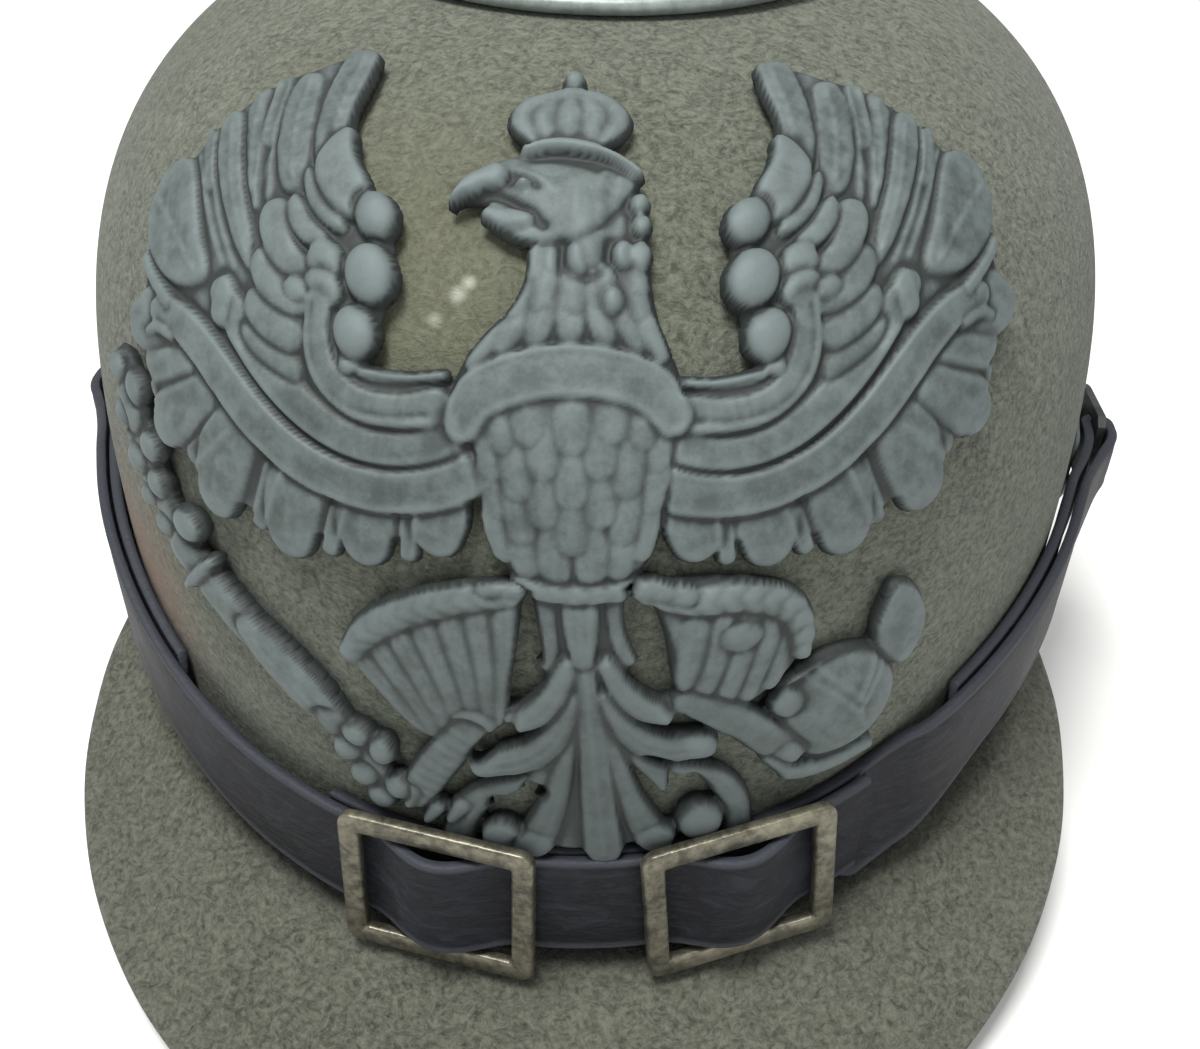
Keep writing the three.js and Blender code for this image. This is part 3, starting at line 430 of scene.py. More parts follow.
def crown_top(lift):
    """Function that moves turned points onto the top of the crown."""
    return lambda points: points + np.array([0, CENTRE_Y, RIM + CROWN_HEIGHT + GAP + lift])


def build_spike():
    edge = BASE_RADIUS
    neck = BASE_THICKNESS + BASE_RISE
    base_rows = [
        (0, 0), (edge - 3.2, 0), (edge - 2, -1.4), (edge - 0.6, -1.6), (edge, -0.6), (edge - 0.3, 0.6),
        (edge - 1.4, 1.1), (edge - 2.6, 0.7), (edge - 4, BASE_THICKNESS), (edge * 0.7, BASE_THICKNESS + 0.9),
        (NECK_RADIUS + 5, neck - 1.2), (NECK_RADIUS + 1.2, neck), (NECK_RADIUS, neck + 1.6),
        (NECK_RADIUS - 0.8, neck + NECK_HEIGHT - 2), (NECK_RADIUS + 0.6, neck + NECK_HEIGHT - 1.2),
        (NECK_RADIUS + 0.6, neck + NECK_HEIGHT), (0, neck + NECK_HEIGHT),
    ]
    place = crown_top(0)
    lathe("spike_base_disc", base_rows, 128, BASE_STEEL, place, 2, node="spike_base", slot="grey_steel")
    spike_rows = [
        (0, 0), (RING_RADIUS - 1, 0), (RING_RADIUS, 1.2), (RING_RADIUS, 3), (RING_RADIUS - 1.2, 4.4),
        (SPIKE_FOOT_RADIUS + 1.4, 5.4), (SPIKE_FOOT_RADIUS + 1.2, 7), (SPIKE_FOOT_RADIUS, 8.4),
        (SPIKE_FOOT_RADIUS * 0.62, SPIKE_HEIGHT * 0.45), (SPIKE_TIP_RADIUS + 0.6, SPIKE_HEIGHT * 0.9),
        (SPIKE_TIP_RADIUS, SPIKE_HEIGHT - 1.2), (SPIKE_TIP_RADIUS * 0.5, SPIKE_HEIGHT - 0.2),
        (0, SPIKE_HEIGHT),
    ]
    place = crown_top(neck + NECK_HEIGHT + GAP)
    lathe("spike_point", spike_rows, 72, BASE_STEEL, place, 2, node="spike", slot="grey_steel")


BOW_HALF = math.degrees((BUCKLE_WIDTH / 2 - BUCKLE_BAR - GAP) / CROWN_HALF_WIDTH)
LAP_HALF = math.degrees(BUCKLE_WIDTH / 2 / CROWN_HALF_WIDTH) + STRAP_LAP
# Middle of the inner and of the outer strap layer, off the felt
INNER_MIDDLE, OUTER_MIDDLE = STRAP_GAP + LEATHER / 2, STRAP_GAP * 2 + LEATHER * 1.5
SIDE_ARC = rad(1) * (CROWN_HALF_LENGTH + LUG_STAND + LUG_METAL)
BAR_MIDDLE = LUG_STAND + LUG_METAL / 2 + 0.45
FOLD_RADIUS = LUG_METAL / 2 + GAP * 1.5 + LEATHER / 2
FOLD_ANGLE = SIDE_ANGLE - (LUG_SLOT_START + LUG_SLOT + 0.4) / SIDE_ARC
# Doubled strap at a side: degrees, rise of the inner layer, rise of the outer layer
SIDE_LAYERS = [
    (44, 0, 0), (49.6, 0, 0), (55.2, 0, 0), (60.8, 0, 0), (66.4, 0, 0), (72, 0, 0), (77, 0.1, 0.1),
    (81, 0.38, 0.32), (85.2, 0.76, 0.62), (88.4, 0.98, 1), (FOLD_ANGLE, 1, 1),
]


def side_route(sign):
    """Middle of the leather out to the lug, round its bar and back: (degrees, off the felt)."""
    low, high = BAR_MIDDLE - FOLD_RADIUS, BAR_MIDDLE + FOLD_RADIUS
    inner = [(sign * d, INNER_MIDDLE + (low - INNER_MIDDLE) * share) for d, share, _ in SIDE_LAYERS]
    outer = [(sign * d, OUTER_MIDDLE + (high - OUTER_MIDDLE) * share) for d, _, share in SIDE_LAYERS]
    fold = []
    for turn in range(20, 161, 20):
        reach = math.sin(rad(turn)) * FOLD_RADIUS / SIDE_ARC
        fold.append((sign * (FOLD_ANGLE + reach), BAR_MIDDLE - math.cos(rad(turn)) * FOLD_RADIUS))
    return inner + fold + outer[::-1]


def bow(degrees):
    """How far the outer layer bulges out through the buckles."""
    turns = [min(abs(degrees - b[1]) / BOW_HALF, 1) for b in BUCKLES]
    return STRAP_BULGE * max(0.5 + 0.5 * math.cos(math.pi * t) for t in turns)


def strap_route(side):
    if side == "left":
        end = BUCKLES[1][1] + LAP_HALF
        front = [(d, OUTER_MIDDLE + bow(d)) for d in np.linspace(-40, end, 110)]
        return side_route(-1) + front
    start = BUCKLES[0][1] - LAP_HALF + 1
    flat = [(d, INNER_MIDDLE) for d in np.linspace(start, 34.5, 40)]
    rise = OUTER_MIDDLE - INNER_MIDDLE
    climb = [(37, INNER_MIDDLE + rise * 0.2), (39.5, INNER_MIDDLE + rise * 0.8)]
    return flat + climb + side_route(1)[::-1]


# Section of the strap: share of the width, share of the thickness, lightening of the edge there, partly wear
# and partly painted highlight
STRAP_SECTION = [
    (-0.5, 0.12, 1), (-0.5, 0.8, 1), (-0.488, 0.95, 1), (-0.47, 1, 0.9), (-0.44, 0.95, 0.3), (-0.42, 0.9, 0),
    (-0.4, 0.96, 0), (-0.2, 1, 0), (0, 1, 0), (0.2, 1, 0), (0.4, 0.96, 0), (0.42, 0.9, 0), (0.44, 0.95, 0.3),
    (0.47, 1, 0.9), (0.488, 0.95, 1), (0.5, 0.8, 1), (0.5, 0.12, 1), (0.48, 0, 0.1), (0, 0, 0.1),
    (-0.48, 0, 0.1),
]


def build_strap(side):
    route = soft_line(strap_route(side), 2)
    degrees, off = route[:, 0], route[:, 1]
    step = np.stack([np.gradient(degrees) * SIDE_ARC, np.gradient(off)], 1)
    step /= np.hypot(step[:, 0], step[:, 1])[:, None]
    taper = smoothstep(np.abs(degrees), *TAPER_ANGLES)
    width = STRAP_WIDTH + (STRAP_END_WIDTH - STRAP_WIDTH) * taper
    middle = smooth_read(STRAP_LINE, degrees)
    start, full, fade, end = SAG_ANGLES
    sag = STRAP_SAG * smoothstep(degrees, start, full) * (1 - smoothstep(degrees, fade, end))
    sag *= side == "right"
    stations = []
    for i in range(len(route)):
        ring = []
        for share, rise, _ in STRAP_SECTION:
            across = (rise - 0.5) * LEATHER
            at = rad(degrees[i] - step[i, 1] * across / SIDE_ARC)
            drop = sag[i] * max(-2 * share, 0)
            z = middle[i] + share * width[i] - drop
            ring.append(off_crown(at, z, off[i] + step[i, 0] * across + SAG_LEAN * drop))
        stations.append(ring)
    name, node = f"chin_strap_{side}", f"strap_{side}"
    piece = section_sweep(name, stations, STRAP_LEATHER, node=node, slot="strap_leather")
    # Edge lightening per point: partly wear, partly painted highlight
    worn_and_highlit = np.tile([wear_and_highlight for _, _, wear_and_highlight in STRAP_SECTION], len(route)).astype(np.float32)
    piece.data.attributes.new("edge", "FLOAT", "POINT").data.foreach_set("value", worn_and_highlit)


def seat(degrees, z, off, spin=0.0):
    """Function that seats points on the crown: X runs round it, Z straight out."""
    theta = rad(degrees)
    out = crown_normal(theta, z)
    along = crown_point(theta + 1e-3, z) - crown_point(theta - 1e-3, z)
    along /= np.linalg.norm(along)
    up = np.cross(out, along)
    c, s = math.cos(rad(spin)), math.sin(rad(spin))
    basis = np.stack([along * c + up * s, up * c - along * s, out])
    at = off_crown(theta, z, off)
    return lambda points: np.asarray(points) @ basis + at


def rounded_ring(half_width, half_height, corner):
    ring = []
    for sx, sy, start in ((1, -1, -90), (1, 1, 0), (-1, 1, 90), (-1, -1, 180)):
        for turn in np.linspace(0, 90, 6):
            a = rad(start + turn)
            x = sx * (half_width - corner) + corner * math.cos(a)
            y = sy * (half_height - corner) + corner * math.sin(a)
            ring.append((x, y))
    return np.array(ring)


def build_buckle(side, degrees, z, spin):
    half_width, half_height = BUCKLE_WIDTH / 2, BUCKLE_HEIGHT / 2
    edge, top = 0.45, BUCKLE_METAL
    section = [(0, edge), (0, top - edge), (edge * 0.3, top - edge * 0.3), (edge, top)]
    section += [(BUCKLE_BAR - edge, top), (BUCKLE_BAR - edge * 0.3, top - edge * 0.3)]
    section += [(BUCKLE_BAR, top - edge), (BUCKLE_BAR, edge), (BUCKLE_BAR - edge, 0), (edge, 0)]
    loops = []
    for inset, height in section:
        ring = rounded_ring(half_width - inset, half_height - inset, max(2.2 - inset * 0.6, 0.5))
        loops.append(np.column_stack([ring, np.full(len(ring), height)]))
    points = np.concatenate(loops)
    faces = grid_faces(len(section), len(loops[0]), wrap_rows=True)
    points = seat(degrees, z, BUCKLE_STAND, spin)(points)
    name, node = f"buckle_frame_{side}", f"buckle_{side}"
    orient(add_mesh(name, points, faces, BUCKLE_STEEL, node=node, slot="buckle_steel"))


def arc(radius, degrees):
    return [(math.cos(rad(turn)) * radius, math.sin(rad(turn)) * radius) for turn in degrees]


def lug_outline():
    half = STRAP_END_WIDTH / 2 + STRAP_GAP + LUG_ARM
    length, corner = LUG_SLOT_START + LUG_SLOT + LUG_BAR, 1.5
    outline = [(length, corner - half), (length, half - corner), (length - corner, half)]
    outline += arc(half, range(90, 271, 10)) + [(length - corner, -half)]
    hole = arc(POST_RADIUS + GAP, range(0, 360, 15))
    near, far, side = LUG_SLOT_START, LUG_SLOT_START + LUG_SLOT, half - LUG_ARM
    slot = [(near, -side), (near, side), (far, side), (far, -side)]
    return [outline, hole, slot]


def cut_plate(loops, thickness, bevel):
    """Flat plate with holes and softened edges, as points and faces."""
    curve = bpy.data.curves.new("plate", "CURVE")
    curve.dimensions, curve.fill_mode = "2D", "BOTH"
    curve.extrude, curve.bevel_depth = thickness / 2 - bevel, bevel
    for loop in loops:
        line = curve.splines.new("POLY")
        line.points.add(len(loop) - 1)
        line.use_cyclic_u = True
        for point, (x, y) in zip(line.points, loop):
            point.co = (x, y, 0, 1)
    holder = bpy.data.objects.new("plate", curve)
    bpy.context.scene.collection.objects.link(holder)
    mesh = bpy.data.meshes.new_from_object(holder.evaluated_get(bpy.context.evaluated_depsgraph_get()))
    points = np.array([tuple(v.co) for v in mesh.vertices])
    faces = [tuple(face.vertices) for face in mesh.polygons]
    bpy.data.objects.remove(holder)
    bpy.data.curves.remove(curve)
    bpy.data.meshes.remove(mesh)
    points[:, 2] -= points[:, 2].min()
    return points, faces


def build_post(side, degrees):
    length, head = LUG_STAND + LUG_METAL, POST_HEAD_RADIUS
    rows = [
        (0, 0), (POST_RADIUS, 0), (POST_RADIUS, length), (head - 0.3, length), (head, length + 0.3),
        (head * 0.95, length + POST_HEAD * 0.45), (head * 0.7, length + POST_HEAD * 0.85),
        (head * 0.3, length + POST_HEAD), (0, length + POST_HEAD),
    ]
    place = seat(degrees, SIDE_HEIGHT, GAP)
    lathe(f"side_post_{side}", rows, 48, DARK_STEEL, place, node=f"post_{side}", slot="dark_steel")


def build_cockade(side, degrees):
    radius = POST_RADIUS + GAP + (COCKADE_RADIUS - POST_RADIUS - GAP) * np.linspace(0, 1, 22)
    fall = -COCKADE_DISH * np.clip((radius / COCKADE_RADIUS - 0.55) / 0.45, 0, 1)
    rows = np.concatenate([
        np.stack([radius, fall], 1), [(COCKADE_RADIUS + 0.2, COCKADE_METAL * 0.5 - COCKADE_DISH)],
        np.stack([radius, fall + COCKADE_METAL], 1)[::-1],
    ])
    sides = COCKADE_FLUTES * 14
    angle = np.linspace(0, 2 * np.pi, sides, endpoint=False)
    share = smoothstep(rows[:, 0] / COCKADE_RADIUS, 0.45, 1)[:, None]
    wave = COCKADE_FLUTE_DEPTH * share * np.cos(COCKADE_FLUTES * angle)
    points = seat(degrees, SIDE_HEIGHT, COCKADE_STAND)(turned(rows, sides, wave))
    faces = grid_faces(len(rows), sides, wrap_rows=True)
    name, node = f"cockade_disc_{side}", f"cockade_{side}"
    orient(add_mesh(name, points, faces, ZINC_PLAIN, node=node, slot="zinc_plate"))


def build_lug(side, degrees):
    points, faces = cut_plate(lug_outline(), LUG_METAL, 0.25)
    if degrees > 0:
        points[:, :2] *= -1
    points = seat(degrees, SIDE_HEIGHT, LUG_STAND)(points)
    name, node = f"strap_lug_{side}", f"lug_{side}"
    add_mesh(name, points, faces, LUG_STEEL, node=node, slot="dark_steel", smooth=False)


build_crown()
build_visor("front_peak", "front_visor", FRONT_REACH, FRONT_HALF_ANGLE, 0)
build_visor("rear_peak", "rear_visor", REAR_REACH, REAR_HALF_ANGLE, math.pi)
build_spike()
build_strap("left")
build_strap("right")
for side, degrees, z, spin in BUCKLES:
    build_buckle(side, degrees, z, spin)
for side, degrees in (("left", -SIDE_ANGLE), ("right", SIDE_ANGLE)):
    build_post(side, degrees)
    build_cockade(side, degrees)
    build_lug(side, degrees)


# The eagle plate, in millimetres of its flat drawing: corners and step of the grid, height of the flat
# sheet, and what the whole is lifted by
RELIEF_LOW, RELIEF_HIGH, GRID_STEP = (-77.0, -58.5), (67.5, 61.5), 0.31
SHEET_HEIGHT, SHEET_LIFT = 0.9, 0.5
# Share of the drawn relief over the sheet, and share of it that is softened by one cell
RELIEF_SHARE, SOFT_SHARE = 0.78, 0.6
# Width of the groove round a shape, and where its own soft edge starts and ends
GROOVE_WIDTH, EDGE_START, EDGE_END = 0.55, -0.3, 0.42
# Place and width of a raised rim, and width of a vein
RIM_IN, RIM_WIDTH, VEIN_WIDTH = 0.6, 0.36, 0.4
# The plate's outer edge: share by which it drops, how wide, and how far its foot is drawn in
EDGE_DROP, EDGE_WIDTH, FOOT_IN = 0.3, 0.45, 0.7
# Height over or under the mean that gets the full painted highlight or the full painted shade
HIGH_FULL, DEEP_FULL = 0.28, 0.22


class Relief:
    """Stamped relief over a flat grid: shapes are laid one over the other, in millimetres."""

    def __init__(self, low, high, step):
        self.step, self.low = step, low
        p = np.arange(low[0], high[0], step)
        q = np.arange(low[1], high[1], step)
        self.p, self.q = np.meshgrid(p, q)
        self.height = np.zeros(self.p.shape)
        self.outline = np.full(self.p.shape, 9.0)

    def window(self, points, reach):
        """Part of the grid round some points."""
        points = np.asarray(points, float)[:, :2]
        low = np.floor((points.min(0) - reach - self.low) / self.step).astype(int).clip(0)
        high = np.ceil((points.max(0) + reach - self.low) / self.step).astype(int) + 1
        return np.s_[low[1]:high[1], low[0]:high[0]]

    def lay(self, w, d, height, groove, solid=True):
        """Lays a shape of signed distance d on what is there, with a groove pressed round it."""
        under = self.height[w]
        pressed = under - groove * np.exp(-np.maximum(d, 0) / GROOVE_WIDTH)
        pressed = np.maximum(pressed, np.minimum(under, SHEET_HEIGHT))
        share = smoothstep(-d, EDGE_START, EDGE_END)
        self.height[w] = pressed * (1 - share) + height * share
        if solid:
            self.outline[w] = np.minimum(self.outline[w], d)

    def along(self, rows, w):
        """Distance inside a strip, the share along it, the side within it and its half width."""
        p, q = self.p[w], self.q[w]
        best = np.full(p.shape, 99.0)
        share, side, half = np.zeros(p.shape), np.zeros(p.shape), np.ones(p.shape)
        lengths = np.hypot(*np.diff(rows[:, :2], axis=0).T)
        starts = np.concatenate([[0], np.cumsum(lengths)])
        for (p0, q0, w0), (p1, q1, w1), length, start in zip(rows[:-1], rows[1:], lengths, starts):
            if length < 1e-6:
                continue
            dp, dq = (p1 - p0) / length, (q1 - q0) / length
            t = np.clip((p - p0) * dp + (q - q0) * dq, 0, length)
            gap = np.hypot(p - p0 - dp * t, q - q0 - dq * t)
            wide = (w0 + (w1 - w0) * t / length) / 2
            better = gap - wide < best
            best = np.where(better, gap - wide, best)
            share = np.where(better, start + t, share)
            turn = (p - p0) * dq - (q - q0) * dp
            side = np.where(better, turn / np.maximum(wide, 0.1), side)
            half = np.where(better, wide, half)
        return best, share, side, half, starts[-1]

    def limb(self, rows, top, low=1.3, rim=0.0, veins=(), vein=0.25, ribs=0.0, pitch=2.0, slant=0.0,
             groove=0.5, flat=0.0, passes=2, solid=True):
        """Strip of (p, q, width) rows, round in section, or flat with a raised rim."""
        rows = soft_line(rows, passes)
        w = self.window(rows, rows[:, 2].max() / 2 + 2)
        d, share, side, half, length = self.along(rows, w)
        depth = np.clip(-d / half, 0, 1)
        if flat:
            shape = np.clip(-d / (half * (1 - flat)), 0, 1)
            shape = np.sqrt(1 - (1 - shape) ** 2)
        else:
            shape = np.sqrt(1 - (1 - depth) ** 2)
        height = low + (top - low) * shape
        if rim:
            height = height + rim * np.exp(-((-d - RIM_IN) / RIM_WIDTH) ** 2)
        for place in veins:
            height = height + vein * np.exp(-((side - place) * half / VEIN_WIDTH) ** 2) * (depth > 0.12)
        if ribs:
            wave = 0.5 - 0.5 * np.cos(2 * np.pi * (share + slant * np.abs(side) * half) / pitch)
            height = height - ribs * (1 - wave) ** 2 * np.clip(depth * 4, 0, 1)
        self.lay(w, d, height, groove, solid)

    def slab(self, points, top, bevel=0.8, low=1.0, groove=0.5, passes=2, hole=False):
        """Flat field inside a closed line, its edge rounded down; or a hole."""
        line = soft_line(points, passes, closed=True)
        w = self.window(line, 2)
        p, q = self.p[w], self.q[w]
        inside = np.zeros(p.shape, bool)
        gap = np.full(p.shape, 99.0)
        for (p0, q0), (p1, q1) in zip(line, np.roll(line, -1, 0)):
            dp, dq = p1 - p0, q1 - q0
            t = np.clip(((p - p0) * dp + (q - q0) * dq) / (dp * dp + dq * dq + 1e-12), 0, 1)
            gap = np.minimum(gap, np.hypot(p - p0 - dp * t, q - q0 - dq * t))
            if q0 != q1:
                inside ^= ((q0 > q) != (q1 > q)) & (p < (p1 - p0) * (q - q0) / (q1 - q0) + p0)
        d = np.where(inside, -gap, gap)
        if hole:
            self.outline[w] = np.maximum(self.outline[w], -d)
            return
        shape = np.clip(-d / bevel, 0, 1)
        self.lay(w, d, low + (top - low) * np.sqrt(1 - (1 - shape) ** 2), groove)

    def dome(self, p, q, radius_p, radius_q, top, low=1.3, groove=0.5, solid=True):
        """Round or oval boss."""
        w = self.window([(p, q)], max(radius_p, radius_q) + 2)
        r = np.hypot((self.p[w] - p) / radius_p, (self.q[w] - q) / radius_q)
        d = (r - 1) * min(radius_p, radius_q)
        self.lay(w, d, low + (top - low) * np.sqrt(np.clip(1 - r * r, 0, 1)), groove, solid)

    def swell(self, p, q, radius_p, radius_q, rise):
        """Lifts all that is laid so far in a soft oval."""
        r = np.hypot((self.p - p) / radius_p, (self.q - q) / radius_q)
        self.height += rise * np.where(r < 1, np.cos(np.minimum(r, 1) * np.pi / 2) ** 2, 0)

    def line(self, rows, width, height):
        """Raised (or with a negative height, cut) line on what is laid already."""
        rows = soft_line([(*row, 2.0) for row in rows], 2)
        w = self.window(rows, 3)
        d = self.along(rows, w)[0] + 1.0
        self.height[w] += height * np.exp(-(d / width) ** 2)

    def comb(self, one, other, count, width, height):
        """Row of short lines from one edge to the other."""
        one, other = np.asarray(one)[:, :2], np.asarray(other)[:, :2]
        for share in (np.arange(count) + 0.5) / count:
            start = one[0] + (one[1] - one[0]) * share
            end = other[0] + (other[1] - other[0]) * share
            self.line([tuple(start), tuple(end)], width, height)

    def barbs(self, vein, reach, count, height):
        """Middle vein of a feather with fine barbs slanting off both sides."""
        vein = soft_line(vein, 2)
        self.line([tuple(row) for row in vein], 0.4, height * 2.4)
        along = vein[-1] - vein[0]
        along /= np.hypot(*along)
        for share in (np.arange(count) + 0.4) / count:
            at = vein[int(share * (len(vein) - 1))]
            for side in (-1, 1):
                out = np.array([along[1], -along[0]]) * side * reach + along * reach * 0.8
                self.line([tuple(at), tuple(at + out)], 0.42, height)


def box_blur(field, cells, passes=2):
    """Mean of a field over a square of 2 * cells + 1 cells a side."""
    for _ in range(passes):
        for axis in (0, 1):
            padded = np.concatenate([np.zeros_like(np.take(field, [0], axis)), np.cumsum(field, axis)], axis)
            n = field.shape[axis]
            high = np.minimum(np.arange(n) + cells + 1, n)
            low = np.maximum(np.arange(n) - cells, 0)
            spans = (high - low).reshape((-1, 1) if axis == 0 else (1, -1))
            field = (np.take(padded, high, axis) - np.take(padded, low, axis)) / spans
    return field


# Wings: drawn once, laid on both sides as (p * stretch, q + lift)
WING_SIDES = [(-1.035, 0.9), (0.965, -0.9)]
WING = [
    (11, -3), (16, -5), (25, -7), (36, -8), (47, -6), (55, -2.5), (60, 3), (62.5, 9), (62.5, 14),
    (61.6, 20), (60, 27), (56, 32.4), (51.6, 38), (47, 43), (42, 47.8), (36, 51.6), (31, 55.5), (26, 56.6),
    (25.2, 54), (28, 44.6), (26.4, 42.5), (25.8, 39), (23.5, 36), (21, 33), (20.4, 28), (21.4, 21),
    (23, 16.5), (24, 13.6), (14, 13.6), (11, 13),
]
# Wide upper feathers, the outermost first: outline, top, middle vein
UPPER = [
    ([(28.6, 36), (31.6, 35), (33.4, 40), (33.2, 46), (32, 51), (30.8, 56), (27, 57.4), (25, 56.8),
      (25.5, 54), (27.9, 44.8)], 2.9, [(30, 38), (29.8, 46), (27.6, 55)]),
    ([(32.8, 33), (36.4, 32), (38.8, 36), (39.5, 42), (39, 48), (36.4, 50.6), (33.4, 50.4), (33.2, 44)],
      2.7, [(35.4, 35), (36.6, 42), (35.8, 49)]),
    ([(40.6, 28), (43, 32), (45, 37), (46.6, 41.6), (45, 45.2), (42.6, 46.6), (42.2, 40), (41, 34)], 2.5,
      [(42, 32), (43.8, 38), (44.2, 44)]),
    ([(38.8, 21), (42.4, 23.4), (46.6, 28.4), (50, 34), (51, 38.8), (49, 41), (46.2, 40.6), (44.8, 36),
      (42.8, 31), (40.4, 26.6)], 2.9, [(41, 24), (45.4, 31), (48, 38.6)]),
    ([(46.8, 20), (50.6, 25.6), (53.6, 32.2), (57, 32.6), (60.6, 29.8), (62.6, 25.4), (62.6, 21.4),
      (60.6, 18.6), (56, 17), (51, 17.6)], 3.0, [(50, 20), (55.4, 23.6), (60.4, 25.6)]),
]
# Narrow shafts between the feathers, drawn as two raised lines each
SHAFTS = [
    ([(38.7, 29), (39.9, 38), (39.4, 47.8)], [(40.8, 30), (42.1, 40), (41.6, 46.8)]),
    ([(43.4, 22.4), (47.7, 27.6), (50.9, 33.8), (51.5, 39)], [(45.7, 22.2), (50.2, 28), (53.5, 32.8)]),
    ([(17.9, -2), (18.6, -7.6)], [(19.7, -2), (20.2, -7.8)]),
    ([(26.8, -3), (28.9, -8.8)], [(28.8, -3), (30.7, -8.8)]),
    ([(35.2, 0), (39, -8.2)], [(37.7, 0.6), (41, -7.8)]),
    ([(43, 3), (50, -3.4)], [(45, 4.4), (51.4, -1.6)]),
    ([(48.6, 7.6), (57.6, 2.6)], [(49.6, 8.8), (58.6, 4.2)]),
]
# Finger feathers from the lowest to the pad at the shoulder: outline and top
FINGERS = [
    ([(31.4, 10.6), (36, 11.6), (40, 13.2), (41.6, 15.4), (40.6, 17.2), (36.6, 15.4), (31.8, 14.4)], 2.8),
    ([(31.8, 13.9), (36.6, 14.6), (40.2, 16.4), (41.2, 19), (39.8, 21.2), (36, 19.4), (31.4, 18.8)], 3.0),
    ([(31.2, 18.2), (35.8, 18.7), (39.6, 20.5), (40.6, 23.2), (39.4, 26), (37, 25), (34, 23.2),
      (30.8, 22.6)], 3.2),
    ([(30.2, 22.2), (34.8, 22.6), (37.9, 24.5), (39.8, 27.3), (39.7, 30.2), (37.6, 32), (35, 32.2),
      (34.4, 29), (33, 26.6), (30.2, 25.8)], 3.4),
    ([(28.4, 26.8), (31.4, 26.4), (34.4, 28), (35.8, 31), (35, 33), (33.2, 33), (31, 30.4), (28.4, 28.8)],
      3.5),
    ([(26.6, 29.2), (29.6, 29.4), (32.4, 31.6), (33.7, 34.6), (33.2, 37.2), (31.6, 36.4), (29.6, 33.2),
      (26.4, 31.2)], 3.6),
    ([(26.4, 43.8), (28.6, 42.8), (31, 39.8), (32.2, 36.8), (30.8, 33.8), (28.2, 31.6), (25.4, 30.8),
      (23.2, 33), (23.4, 36.6), (26, 39.6)], 4.3),
]
# Lower lobes: base p, base q, bend p, bend q, tip p, tip q, width, top
LOBES = [
    (14.6, 1, 15.1, -2, 15.5, -4.6, 8.0, 2.9), (24, 0, 24.5, -3.5, 24.9, -7.0, 8.4, 2.9),
    (32.4, 1, 34.4, -3.5, 35.4, -8.2, 8.8, 3.0), (41.4, 5, 45, -1, 47, -6.2, 9.0, 3.0),
    (48, 6.6, 52.4, 3.4, 55.9, -0.2, 7.8, 3.1), (50, 10.6, 54, 9.4, 57.4, 7.4, 6.6, 3.1),
    (54, 13.4, 58, 12.6, 61.8, 10.4, 7.6, 3.0),
]
RIBBON = [
    (9, 4, 5.4), (14, 1.4, 5.4), (20.7, 0.1, 5.4), (26.2, 0.4, 5.5), (32.2, 2, 5.7), (37.7, 5, 5.8),
    (42.7, 8.8, 5.8), (47.5, 12.1, 5.4), (52.2, 13.7, 4.8), (56.4, 13.2, 4.4),
]
BAND = [
    (12, 7.4, 5.4), (17, 5.6, 4.6), (22, 5.1, 4.4), (27, 5.9, 4.6), (32, 8.4, 5.0), (37, 12.2, 5.6),
    (41, 15.8, 5.6), (44.6, 18.4, 4.6),
]
ARM = [
    (14.6, 10.8, 4.4), (19, 9.9, 4.0), (24.5, 10, 4.0), (28.4, 12.4, 4.2), (29.8, 16, 4.2),
    (29.6, 20.8, 3.6),
]
# Lines on and beside the arm: rows, width, height
ARM_LINES = [
    ([(15.4, 8.7), (22, 7.8), (27.8, 8.9), (31.2, 12.2), (32.1, 17), (31.4, 21)], 0.45, 0.55),
    ([(16, 9.9), (22, 9.1), (27, 10), (29.9, 13), (30.8, 17), (30.4, 20.4)], 0.4, -0.35),
    ([(14.4, 13.1), (20, 12.3), (25.2, 12.6), (27, 15), (27.4, 18)], 0.45, 0.5),
    ([(13.6, 5.6), (17, 4.2), (22, 3.6), (27.4, 4.4), (32.6, 6.6), (38, 10.2), (42.4, 14.4)], 0.45, 0.4),
]
RIBBON_TAILS = [
    [(55, 15.2, 2.2), (60, 17.2, 2.4), (64, 20.6, 1.6)],
    [(53.6, 11.4, 1.6), (57, 11.8, 1.8), (59, 10.4, 1.2)],
]
# Balls along the shoulder: p, q, radius, top
SHOULDER = [
    (24.6, 18.2, 3.2, 4.8), (22.6, 32.2, 3.2, 4.9), (22.9, 25, 3.7, 5.4),
]


